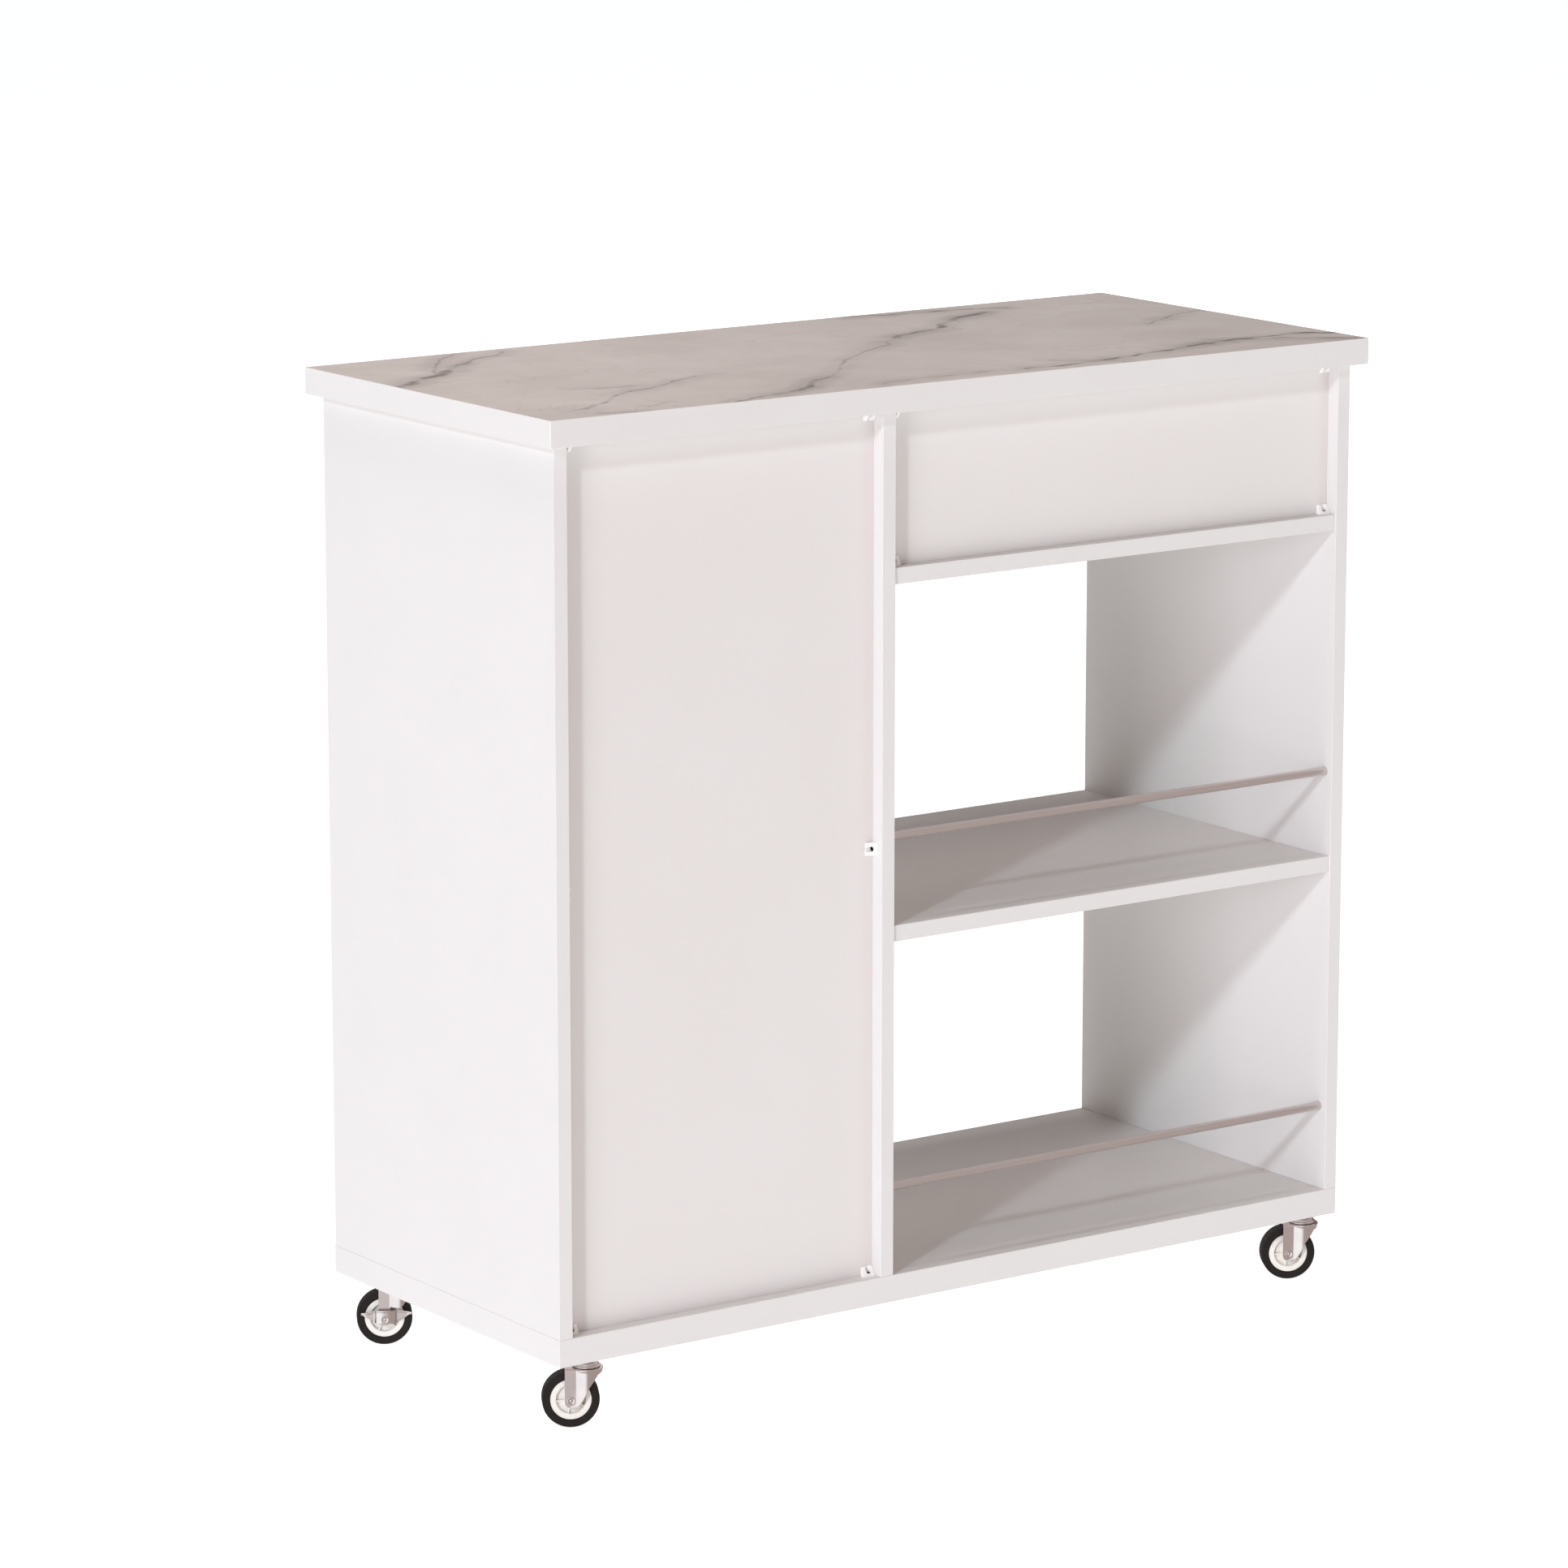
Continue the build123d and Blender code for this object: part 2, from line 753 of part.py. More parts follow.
def make_cams(sets, height):
    """Cams: each is a drum with a pocket for its bolt's head and a cross slot in its face."""
    for bolts, normal, depth in sets:
        with Locations(*cam_faces(bolts, normal, depth)):
            Cylinder(cam_r - fit_play, height - fit_play, align=inwards)
    for bolts, normal, depth in sets:
        with Locations(*[Plane(p.origin + p.z_dir * cam_reach, z_dir=-p.z_dir) for p in bolts]):
            Cylinder(cam_pocket_r, cam_r + beyond, align=outwards, mode=Mode.SUBTRACT)
            Sphere(cam_pocket_r, mode=Mode.SUBTRACT)
        with Locations(*cam_faces(bolts, normal, depth)):
            Box(cam_r, cam_cross_w, cam_cross_depth, align=inwards, mode=Mode.SUBTRACT)
            Box(cam_cross_w, cam_r, cam_cross_depth, align=inwards, mode=Mode.SUBTRACT)


def make_bolts(planes):
    """Bolts: a thread behind each plane, then a shank, a neck and a head in front of it."""
    neck_at = [p.offset(bolt_shank_l) for p in planes]
    head_at = [p.offset(bolt_shank_l + bolt_neck_l) for p in planes]
    with Locations(*planes):
        Cylinder(bolt_thread_r, bolt_thread_l, align=inwards)
        Cylinder(bolt_shank_r, bolt_shank_l, align=outwards)
    with Locations(*neck_at):
        Cylinder(bolt_neck_r, bolt_neck_l, align=outwards)
    with Locations(*head_at):
        Cylinder(bolt_head_r, bolt_head_l, align=outwards)


with BuildPart() as cam_locks:
    make_cams(cam_sets, cam_h)
keep(cam_locks, "cam_locks")

with BuildPart() as cam_bolts:
    make_bolts([plane for bolts, normal, depth in cam_sets for plane in bolts])
keep(cam_bolts, "cam_bolts")

all_dowels = [p for x in upright_mids for p in top_dowels[x] + bottom_dowels[x]]
all_dowels += [p for z in shelf_unders for dowels in shelf_dowels[z] for p in dowels]
with BuildPart() as wood_dowels:
    with Locations(*all_dowels):
        Cylinder(dowel_r, dowel_long, align=outwards)
        Cylinder(dowel_r, dowel_short, align=inwards)
keep(wood_dowels, "wood_dowels")


def make_screws(planes, shank_r, length, head_r, head_h):
    """Countersunk screws with a cross in the head, each with its face on a plane."""
    with Locations(*planes):
        Cylinder(shank_r, length, align=inwards)
        Cone(shank_r, head_r, head_h, align=inwards)
        Box(2 * cross_of_head * head_r, cross_w, cross_depth, align=inwards, mode=Mode.SUBTRACT)
        Box(cross_w, 2 * cross_of_head * head_r, cross_depth, align=inwards, mode=Mode.SUBTRACT)


with BuildPart() as bottom_screws:
    make_screws(
        [p for x in upright_mids for p in long_screws[x]], long_screw_r, long_screw_l, long_head_r, long_head_h
    )
keep(bottom_screws, "bottom_screws")

carcass_screw_planes = clip_screws + catch_screws
carcass_screw_planes += faces_at(runner_points(-side_inner + runner_sheet), right)
carcass_screw_planes += faces_at(runner_points(divider_left - runner_sheet), left)
carcass_screw_planes += faces_at(hinge_points(side_inner - leaf_t), left)
with BuildPart() as carcass_screws:
    make_screws(carcass_screw_planes, small_screw_r, small_screw_l, small_head_r, small_head_h)
keep(carcass_screws, "carcass_screws")


# Hinges
def knuckle_span(z, index):
    """Lower and upper end of one knuckle of the hinge at height z."""
    pitch = hinge_h / knuckles
    low = z - hinge_h / 2 + index * pitch
    return low + knuckle_gap / 2, low + pitch - knuckle_gap / 2


def hinge_level(z):
    """Plan plane at a level on the hinge axis."""
    return Plane(origin=(hinge_axis_x, hinge_axis_y, z), z_dir=up)


def make_leaves(own, others, leaf_x, bore_r):
    """Hinge leaves with their own knuckles, cut away round the others'."""
    for z in hinge_zs:
        slab(
            leaf_x,
            (hinge_axis_y, body_front + leaf_depth),
            (z - hinge_h / 2 + knuckle_gap / 2, z + hinge_h / 2 - knuckle_gap / 2),
        )
    for z in hinge_zs:
        for index in others:
            low, high = knuckle_span(z, index)
            around = high - low + 2 * knuckle_gap
            round_bar(hinge_level(low - knuckle_gap), knuckle_r + knuckle_clear, around, Mode.SUBTRACT)
        for index in own:
            low, high = knuckle_span(z, index)
            round_bar(hinge_level(low), knuckle_r, high - low)
        round_bar(hinge_level(z - hinge_h / 2), bore_r, hinge_h, Mode.SUBTRACT)


even = range(0, knuckles, 2)
odd = range(1, knuckles, 2)
with BuildPart() as hinge_frame_leaves:
    make_leaves(even, odd, (side_inner - leaf_t, side_inner), knuckle_bore_r + fit_play)
    countersink(faces_at(hinge_points(side_inner - leaf_t), left))
keep(hinge_frame_leaves, "hinge_frame_leaves")

with BuildPart() as hinge_door_leaves:
    make_leaves(odd, even, (door_right, door_right + leaf_t), knuckle_bore_r + pin_play)
    countersink(faces_at(hinge_points(door_right + leaf_t), right))
keep(hinge_door_leaves, "hinge_door_leaves")

with BuildPart() as hinge_pins:
    for z in hinge_zs:
        round_bar(hinge_level(z - hinge_h / 2), knuckle_bore_r, hinge_h)
keep(hinge_pins, "hinge_pins")

with BuildPart() as hinge_door_screws:
    make_screws(
        faces_at(hinge_points(door_right + leaf_t), right), small_screw_r, small_screw_l, small_head_r, small_head_h
    )
keep(hinge_door_screws, "hinge_door_screws")

# Magnetic catch on the divider, and its steel strike on the door
with BuildPart() as magnetic_catch:
    slab(
        (divider_right, divider_right + catch_w),
        (catch_front, catch_front + catch_d),
        (catch_z - catch_h / 2, catch_z + catch_h / 2),
    )
    fillet(magnetic_catch.edges().filter_by(Axis.Y), eased * 2)
    drill([p.offset(catch_w) for p in catch_screws], small_head_r + head_play, catch_w)
    countersink(catch_screws)
keep(magnetic_catch, "magnetic_catch")

with BuildPart() as catch_strike:
    slab(
        (door_left + strike_inset, door_left + catch_w - front_gap),
        (front_back, front_back + strike_t),
        (catch_z - strike_h / 2, catch_z + strike_h / 2),
    )
    fillet(catch_strike.edges().filter_by(Axis.Y), eased * 2)
keep(catch_strike, "catch_strike")


# Door with its bar pull
def make_pull(centre_x, centre_z, along):
    """A bar pull on the fronts' outer plane: two posts and a bar with eased ends."""
    offset = Vector(*along) * (pull_centres / 2)
    middle = Vector(centre_x, body_front, centre_z)
    with Locations(*faces_at([middle - offset, middle + offset], forward)):
        Cylinder(pull_post_r, pull_reach - pull_bar_r, align=outwards)
    bar_start = middle + Vector(*forward) * (pull_reach - pull_bar_r) - Vector(*along) * (pull_bar_l / 2)
    round_bar(Plane(origin=bar_start, z_dir=along), pull_bar_r, pull_bar_l)


def pull_screw_planes(centre_x, centre_z, along):
    """Planes of a pull's screws on the inner face of the front, facing inwards."""
    offset = Vector(*along) * (pull_centres / 2)
    middle = Vector(centre_x, front_back, centre_z)
    return faces_at([middle - offset, middle + offset], back)


def make_pull_screws(planes):
    """Pan-headed screws through the front into the pull's posts."""
    with Locations(*planes):
        Cylinder(pull_screw_r, front_t + pull_screw_in, align=inwards)
        Cylinder(pull_head_r, pull_head_h, align=outwards)
    fillet(edges().filter_by(lambda e: e.center().Y > front_back + pull_head_h / 2), pull_head_eased)


def pull_post_holes(planes):
    """Tapped holes in the pull's posts."""
    drill([p.offset(-front_t) for p in planes], pull_screw_r + fit_play, pull_screw_in + end_play)


door_pull_x = door_left + door_pull_inset
door_pull_screws = pull_screw_planes(door_pull_x, door_pull_z, up)
with BuildPart() as door_panel:
    slab((door_left, door_right), (body_front, front_back), (door_low, door_high))
    fillet(door_panel.edges(), top_eased)
    pilot(faces_at(hinge_points(door_right), right), leaf_t)
    drill(door_pull_screws, pull_screw_r + fit_play, front_t)
keep(door_panel, "door_panel")

with BuildPart() as door_handle:
    make_pull(door_pull_x, door_pull_z, up)
    fillet(door_handle.edges().filter_by(GeomType.CIRCLE).group_by(Axis.Z)[0], eased)
    fillet(door_handle.edges().filter_by(GeomType.CIRCLE).group_by(Axis.Z)[-1], eased)
    pull_post_holes(door_pull_screws)
keep(door_handle, "door_handle")

with BuildPart() as door_handle_screws:
    make_pull_screws(door_pull_screws)
keep(door_handle_screws, "door_handle_screws")

# Drawer box: front, two sides, back and a thin floor in grooves
floor_z = drawer_low + drawer_floor_lift
floor_slot = (floor_z - groove_play / 2, floor_z + drawer_floor_t + groove_play / 2)
inner_left = box_left + drawer_side_t
inner_right = box_right - drawer_side_t
fitting_zs = (drawer_low + drawer_fitting_z, drawer_high - drawer_fitting_z / 2)
side_mids = (box_left + drawer_side_t / 2, box_right - drawer_side_t / 2)
front_bolts = {x: faces_at([(x, front_back, z) for z in fitting_zs], back) for x in side_mids}
rear_screw_y = drawer_rear - drawer_side_t / 2
rear_screws = {
    side_mids[0]: faces_at([(box_left, rear_screw_y, z) for z in fitting_zs], left),
    side_mids[1]: faces_at([(box_right, rear_screw_y, z) for z in fitting_zs], right),
}
drawer_mid_x = (-side_inner + divider_left) / 2
drawer_mid_z = (drawer_bay_floor + top_under) / 2
drawer_pull_screws = pull_screw_planes(drawer_mid_x, drawer_mid_z, right)

with BuildPart() as drawer_front:
    slab(
        (-side_inner + front_gap, divider_left - front_gap),
        (body_front, front_back),
        (drawer_bay_floor + front_gap, top_under - front_gap),
    )
    fillet(drawer_front.edges(), top_eased)
    slab((inner_left, inner_right), (front_back - drawer_groove, front_back), floor_slot, mode=Mode.SUBTRACT)
    drill(drawer_pull_screws, pull_screw_r + fit_play, front_t)
    for x in side_mids:
        drill(front_bolts[x], bolt_thread_r + fit_play, bolt_thread_l + end_play)
keep(drawer_front, "drawer_front")


def drawer_side(name, x_span, inner_x, normal, mid):
    """One side of the drawer box, with the floor's groove in its inner face."""
    with BuildPart() as side:
        slab(x_span, (front_back, drawer_rear), (drawer_low, drawer_high))
        fillet(side.edges(), eased)
        groove = inner_x - normal[0] * drawer_groove
        slab(
            (min(inner_x, groove), max(inner_x, groove)),
            (front_back, drawer_rear),
            floor_slot,
            mode=Mode.SUBTRACT,
        )
        with Locations(*front_bolts[mid]):
            Cylinder(bolt_shank_r + fit_play, cam_reach, align=outwards, mode=Mode.SUBTRACT)
        drill(cam_faces(front_bolts[mid], normal, drawer_side_t / 2), cam_r, drawer_cam_h)
        drill(rear_screws[mid], drawer_screw_r + fit_play, drawer_side_t)
        with Locations(*rear_screws[mid]):
            Cone(
                drawer_screw_r + fit_play,
                drawer_screw_head_r + fit_play,
                drawer_screw_head_h,
                align=inwards,
                mode=Mode.SUBTRACT,
            )
        pilot(faces_at(runner_points(box_left if mid == side_mids[0] else box_right), (-normal[0], 0, 0)), 0)
    keep(side, name)


drawer_side("drawer_left_side", (box_left, inner_left), inner_left, right, side_mids[0])
drawer_side("drawer_right_side", (inner_right, box_right), inner_right, left, side_mids[1])

with BuildPart() as drawer_back:
    slab((inner_left, inner_right), (drawer_rear - drawer_side_t, drawer_rear), (drawer_low, drawer_high))
    fillet(drawer_back.edges(), eased)
    slab(
        (inner_left, inner_right),
        (drawer_rear - drawer_side_t, drawer_rear - drawer_side_t + drawer_groove),
        floor_slot,
        mode=Mode.SUBTRACT,
    )
    for mid, planes in rear_screws.items():
        drill([p.offset(-drawer_side_t) for p in planes], drawer_screw_r + fit_play, drawer_screw_l)
keep(drawer_back, "drawer_back")

floor_fill = drawer_groove - end_play
with BuildPart() as drawer_bottom:
    slab(
        (inner_left - floor_fill, inner_right + floor_fill),
        (front_back - floor_fill, drawer_rear - drawer_side_t + floor_fill),
        (floor_z, floor_z + drawer_floor_t),
    )
    # The corners are cut back, because the drawer's front and back are only grooved between the sides.
    for y in (front_back - floor_fill, drawer_rear - drawer_side_t + floor_fill):
        for x in (inner_left - floor_fill, inner_right + floor_fill):
            with Locations((x, y, floor_z)):
                Box(2 * floor_fill, 2 * floor_fill, 4 * drawer_floor_t, mode=Mode.SUBTRACT)
keep(drawer_bottom, "drawer_bottom")

with BuildPart() as drawer_handle:
    make_pull(drawer_mid_x, drawer_mid_z, right)
    fillet(drawer_handle.edges().filter_by(GeomType.CIRCLE).group_by(Axis.X)[0], eased)
    fillet(drawer_handle.edges().filter_by(GeomType.CIRCLE).group_by(Axis.X)[-1], eased)
    pull_post_holes(drawer_pull_screws)
keep(drawer_handle, "drawer_handle")

with BuildPart() as drawer_handle_screws:
    make_pull_screws(drawer_pull_screws)
keep(drawer_handle_screws, "drawer_handle_screws")

# Cams, bolts and screws that hold the drawer box together
with BuildPart() as drawer_fasteners:
    make_cams([(front_bolts[side_mids[0]], right, drawer_side_t / 2)], drawer_cam_h)
    make_cams([(front_bolts[side_mids[1]], left, drawer_side_t / 2)], drawer_cam_h)
    make_bolts([p for x in side_mids for p in front_bolts[x]])
    make_screws(
        [p for x in side_mids for p in rear_screws[x]],
        drawer_screw_r,
        drawer_screw_l,
        drawer_screw_head_r,
        drawer_screw_head_h,
    )
keep(drawer_fasteners, "drawer_fasteners")


# Ball runners. Each is drawn from its upright's face, with x running towards the drawer.
def runner_sketch(face_x, sense, blocks):
    """Rectangles of a runner's section, given as spans across and spans of height above the middle."""
    for (x0, x1), (z0, z1) in blocks:
        for mirrored in (1, -1):
            with Locations((face_x + sense * (x0 + x1) / 2, runner_z + mirrored * (z0 + z1) / 2)):
                Rectangle(x1 - x0, z1 - z0)


def runner_part(face_x, sense, blocks, y_low, length):
    """A length of runner section along the cart's depth."""
    with BuildSketch(Plane.XZ.offset(-y_low - length)) as section:
        runner_sketch(face_x, sense, blocks)
    extrude(section.sketch, amount=length)


half = runner_h / 2
ball_gap = 2 * (ball_r + ball_play)
drawer_half = half - runner_sheet - ball_gap
ball_z = half - runner_sheet - ball_gap / 2
outer_blocks = [
    ((0, runner_sheet), (0, half)),
    ((0, runner_flange), (half - runner_sheet, half)),
    ((runner_flange - runner_sheet, runner_flange), (half - runner_sheet - runner_lip, half)),
]
inner_blocks = [
    ((runner_space - runner_sheet, runner_space), (0, drawer_half)),
    ((cage_x + cage_sheet + cage_clear, runner_space), (drawer_half - runner_sheet, drawer_half)),
]
cage_blocks = [
    ((cage_x, cage_x + cage_sheet), (0, ball_z + cage_sheet / 2)),
    ((cage_x, cage_reach), (ball_z - cage_sheet / 2, ball_z + cage_sheet / 2)),
]
runner_sides = ((-side_inner, 1), (divider_left, -1))
cage_l = (balls_in_row - 1) * ball_pitch + 2 * cage_margin
cage_y = runner_y + cage_stop + drawer_travel / 2

with BuildPart() as runner_cabinet_members:
    for face_x, sense in runner_sides:
        runner_part(face_x, sense, outer_blocks, runner_y, runner_l)
        countersink(faces_at(runner_points(face_x + sense * runner_sheet), (sense, 0, 0)))
keep(runner_cabinet_members, "runner_cabinet_members")

with BuildPart() as runner_drawer_members:
    for face_x, sense in runner_sides:
        runner_part(face_x, sense, inner_blocks, runner_y, runner_l)
keep(runner_drawer_members, "runner_drawer_members")

ball_rows = [
    (face_x + sense * ball_x, cage_y + cage_margin + index * ball_pitch, runner_z + side * ball_z)
    for face_x, sense in runner_sides
    for index in range(balls_in_row)
    for side in (1, -1)
]
with BuildPart() as runner_ball_cages:
    for face_x, sense in runner_sides:
        runner_part(face_x, sense, cage_blocks, cage_y, cage_l)
    with Locations(*ball_rows):
        Cylinder(ball_r + cage_hole_play, 4 * cage_sheet, mode=Mode.SUBTRACT)
        Sphere(ball_r)
keep(runner_ball_cages, "runner_ball_cages")


# Casters
def caster_planes(name):
    """Plan plane at the swivel axis, and plane through the wheel, square to the axle."""
    centre = wheel_centres[name]
    axis = swivel_axes[name]
    plan = Plane(origin=(axis.X, axis.Y, 0), x_dir=to_swivel, z_dir=up)
    flank = Plane(origin=centre, x_dir=to_swivel, z_dir=axle_dir)
    return plan, flank


def fork_outline(inset, tail):
    """Plan of a fork in the sketch being made: a round head with two straight legs behind it."""
    Circle(fork_head_r - inset)
    length = caster_trail + leg_half + tail
    with Locations((-length / 2, 0)):
        Rectangle(length, 2 * (fork_half - inset))


def make_fork(name):
    """A fork pressed from sheet: a flat crown, two legs and a skirt cut off on a slant."""
    plan, flank = caster_planes(name)
    low = wheel_r - leg_drop - beyond
    front = caster_trail + fork_head_r + beyond
    top_rise = fork_top - wheel_r
    skirt_x = caster_trail + fork_head_r - skirt_front_run
    skirt_z = top_rise - skirt_front_depth
    slant = [(skirt_x, skirt_z), (front, skirt_z + skirt_flare)]
    if name in braked:
        slant = [(leg_half, -leg_drop), (leg_half, lever_up + skirt_over_lever)] + slant
    else:
        slant = [(skirt_foot, -leg_drop)] + slant
    with BuildPart() as fork:
        with BuildSketch(plan.offset(low)):
            fork_outline(0.0, 0.0)
        extrude(amount=fork_top - low)
        with BuildSketch(plan.offset(low)):
            fork_outline(fork_sheet, beyond)
        extrude(amount=fork_top - fork_sheet - low, mode=Mode.SUBTRACT)
        with BuildSketch(plan.offset(fork_top - fork_sheet)):
            Circle(fork_head_r + fork_lip)
        extrude(amount=fork_sheet)
        with BuildSketch(flank.offset(-fork_head_r - fork_lip)):
            with BuildLine():
                Polyline(
                    (-leg_half, top_rise),
                    (-leg_half, leg_corner - leg_drop),
                    (leg_corner - leg_half, -leg_drop),
                    *slant,
                    (front, top_rise),
                    close=True,
                )
            make_face()
        extrude(amount=2 * (fork_head_r + fork_lip), mode=Mode.INTERSECT)
        with Locations(plan.offset(fork_top)):
            Cylinder(kingpin_r + pin_play, 2 * fork_sheet, mode=Mode.SUBTRACT)
        with Locations(flank):
            Cylinder(axle_r + fit_play, 2 * fork_head_r, mode=Mode.SUBTRACT)
    keep(fork, f"{name}_fork")


def make_axle(name):
    """A riveted axle with a round head at each end."""
    plan, flank = caster_planes(name)
    near = fork_half + fit_play
    far = near
    if name in braked:
        far = lever_wing + lever_bulge + lever_sheet + fit_play
    with BuildPart() as axle:
        round_bar(flank.offset(-near), axle_r, near + far)
        round_bar(flank.offset(far), axle_head_r, axle_head_t)
        round_bar(flank.offset(-near - axle_head_t), axle_head_r, axle_head_t)
    keep(axle, f"{name}_axle")


def make_wheel(name):
    """A moulded rim with ribs on both faces of its web, and a rubber tyre round it."""
    plan, flank = caster_planes(name)
    with BuildPart() as rim:
        with BuildSketch(flank.offset(-rim_w / 2)):
            Circle(tyre_bore_r - fit_play)
            Circle(rim_inner_r, mode=Mode.SUBTRACT)
        extrude(amount=rim_w)
        turn = rib_turn_braked if name in braked else rib_turn_plain
        round_bar(flank.offset(-web_t / 2), rim_inner_r + rib_let_in, web_t)
        round_bar(flank.offset(-hub_w / 2), hub_r, hub_w)
        with BuildSketch(flank.offset(-rib_w / 2)):
            with PolarLocations((hub_r + rim_inner_r) / 2, ribs, start_angle=turn):
                Rectangle(rim_inner_r - hub_r + 2 * rib_let_in, rib_t)
        extrude(amount=rib_w)
        with Locations(flank):
            Cylinder(axle_r + pin_play, hub_w + 2 * beyond, mode=Mode.SUBTRACT)
    keep(rim, f"{name}_rim")
    with BuildPart() as tyre:
        round_bar(flank.offset(-wheel_w / 2), wheel_r, wheel_w)
        fillet(tyre.edges().filter_by(GeomType.CIRCLE), tyre_shoulder)
        with Locations(flank):
            Cylinder(tyre_bore_r, wheel_w + 2 * beyond, mode=Mode.SUBTRACT)
    keep(tyre, f"{name}_tyre")


def lever_outline(proud):
    """Plan of a brake lever in the sketch being made: two wings and a bulge over the fork's leg."""
    near = lever_wing
    far = lever_wing + lever_sheet + proud
    side = lever_sheet + proud
    left_foot = lever_shift - lever_bulge_half
    right_foot = lever_shift + lever_bulge_half
    with BuildLine() as outline:
        Line((-lever_left, -near), (left_foot, -near))
        ThreePointArc((left_foot, -near), (lever_shift, -near - lever_bulge), (right_foot, -near))
        Polyline((right_foot, -near), (lever_right, -near), (lever_right, -far), (right_foot + side, -far))
        ThreePointArc(
            (right_foot + side, -far), (lever_shift, -far - lever_bulge), (left_foot - side, -far)
        )
        Polyline((left_foot - side, -far), (-lever_left, -far), (-lever_left, -near))
    make_face(outline.edges())


def make_lever(name):
    """A pressed brake lever that rocks on the axle, with a ledge along its upper edge."""
    plan, flank = caster_planes(name)
    level = Plane(origin=wheel_centres[name], x_dir=to_swivel, z_dir=up)
    shoulder = lever_bulge_half + lever_shoulder
    with BuildPart() as lever:
        with BuildSketch(level.offset(-lever_down)):
            lever_outline(0.0)
        extrude(amount=lever_up + lever_down)
        with BuildSketch(level.offset(lever_up - lever_sheet)):
            lever_outline(lever_ledge)
        extrude(amount=lever_sheet)
        with BuildSketch(flank):
            with BuildLine():
                Polyline(
                    (-lever_left, lever_wing_up),
                    (-lever_left + lever_taper, lever_wing_down),
                    (lever_shift - shoulder, -lever_wing_down),
                    (lever_shift - shoulder, -lever_down),
                    (lever_shift + shoulder, -lever_down),
                    (lever_shift + shoulder, -lever_wing_down),
                    (lever_right - lever_taper, lever_wing_down),
                    (lever_right, lever_wing_up),
                    (lever_right, lever_up),
                    (-lever_left, lever_up),
                    close=True,
                )
            make_face()
        extrude(amount=2 * fork_head_r, mode=Mode.INTERSECT)
        with Locations(flank):
            Cylinder(axle_r + pin_play, 4 * fork_head_r, mode=Mode.SUBTRACT)
    keep(lever, f"{name}_brake_lever")


for caster_name in wheel_centres:
    make_fork(caster_name)
    make_axle(caster_name)
    make_wheel(caster_name)
for caster_name in braked:
    make_lever(caster_name)


def level_on(axis, z):
    """Plan plane at a level on a caster's swivel axis."""
    return Plane(origin=(axis.X, axis.Y, z), z_dir=up)


# Stems: kingpin, upper cup, hexagon and thread in one piece, over a ring of balls on the fork's crown
with BuildPart() as caster_stems:
    for axis in swivel_axes.values():
        round_bar(level_on(axis, kingpin_low), kingpin_head_r, kingpin_head_t)
        round_bar(level_on(axis, kingpin_low), kingpin_r, cup_top - kingpin_low)
        with BuildSketch(level_on(axis, cup_low)):
            Circle(cup_r)
            Circle(cup_r - cup_sheet, mode=Mode.SUBTRACT)
        extrude(amount=cup_roof - cup_low)
        round_bar(level_on(axis, cup_roof), cup_r, cup_sheet)
        with BuildSketch(level_on(axis, cup_top)):
            RegularPolygon(hex_af / 2, 6, major_radius=False)
        extrude(amount=bottom_under - cup_top)
        round_bar(level_on(axis, bottom_under), stem_r, stem_l)
keep(caster_stems, "caster_stems")

with BuildPart() as caster_insert_nuts:
    with Locations(*stem_planes):
        Cylinder(nut_r, nut_l, align=inwards)
        Cylinder(stem_r + fit_play, stem_l + end_play, align=inwards, mode=Mode.SUBTRACT)
keep(caster_insert_nuts, "caster_insert_nuts")

with BuildPart() as swivel_balls:
    for axis in swivel_axes.values():
        with Locations(level_on(axis, ball_level)):
            with PolarLocations(swivel_balls_ring, swivel_balls_count):
                Sphere(swivel_ball_r)
keep(swivel_balls, "swivel_balls")
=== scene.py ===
import json
from math import atan2, cos, degrees, pi, radians, sin, sqrt

import bmesh
import bpy
from mathutils import Matrix, Vector


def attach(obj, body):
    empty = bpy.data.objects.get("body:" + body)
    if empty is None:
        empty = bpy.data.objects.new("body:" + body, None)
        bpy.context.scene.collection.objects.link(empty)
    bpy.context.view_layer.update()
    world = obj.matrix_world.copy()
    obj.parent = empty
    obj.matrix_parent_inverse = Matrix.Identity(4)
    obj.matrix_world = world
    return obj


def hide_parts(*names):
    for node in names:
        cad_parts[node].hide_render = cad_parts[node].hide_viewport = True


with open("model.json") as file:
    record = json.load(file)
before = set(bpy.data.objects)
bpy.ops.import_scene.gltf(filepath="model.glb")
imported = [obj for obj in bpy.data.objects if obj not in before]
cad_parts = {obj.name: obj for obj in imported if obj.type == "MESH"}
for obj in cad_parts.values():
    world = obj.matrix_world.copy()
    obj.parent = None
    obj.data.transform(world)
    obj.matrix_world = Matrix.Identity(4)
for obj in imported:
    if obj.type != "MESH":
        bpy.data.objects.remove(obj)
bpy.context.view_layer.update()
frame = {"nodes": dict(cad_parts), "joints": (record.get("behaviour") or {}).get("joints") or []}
nodes = frame["nodes"]


# Camera. A long lens about six metres away, looking at the back and the cupboard end, at the
# angle that the photograph's straight lines give. Its sensor is square, as the photograph is.
photo_width_px = 1932
focal_length_px = 7937.07
camera_place = (3.3857, 4.7078, 1.7010)
camera_data = bpy.data.cameras.new("camera")
camera_data.sensor_width = 36.0
camera_data.lens = focal_length_px / photo_width_px * camera_data.sensor_width
camera_data.clip_end = 200.0
camera = bpy.data.objects.new("camera", camera_data)
camera_right = Vector((-0.8169, 0.5766, 0.0)).normalized()
camera_look = Vector((-0.5646, -0.7999, -0.2029)).normalized()
camera_up = camera_right.cross(camera_look).normalized()
camera.matrix_world = Matrix.Translation(camera_place) @ Matrix(
    (camera_right, camera_up, -camera_look)).transposed().to_4x4()
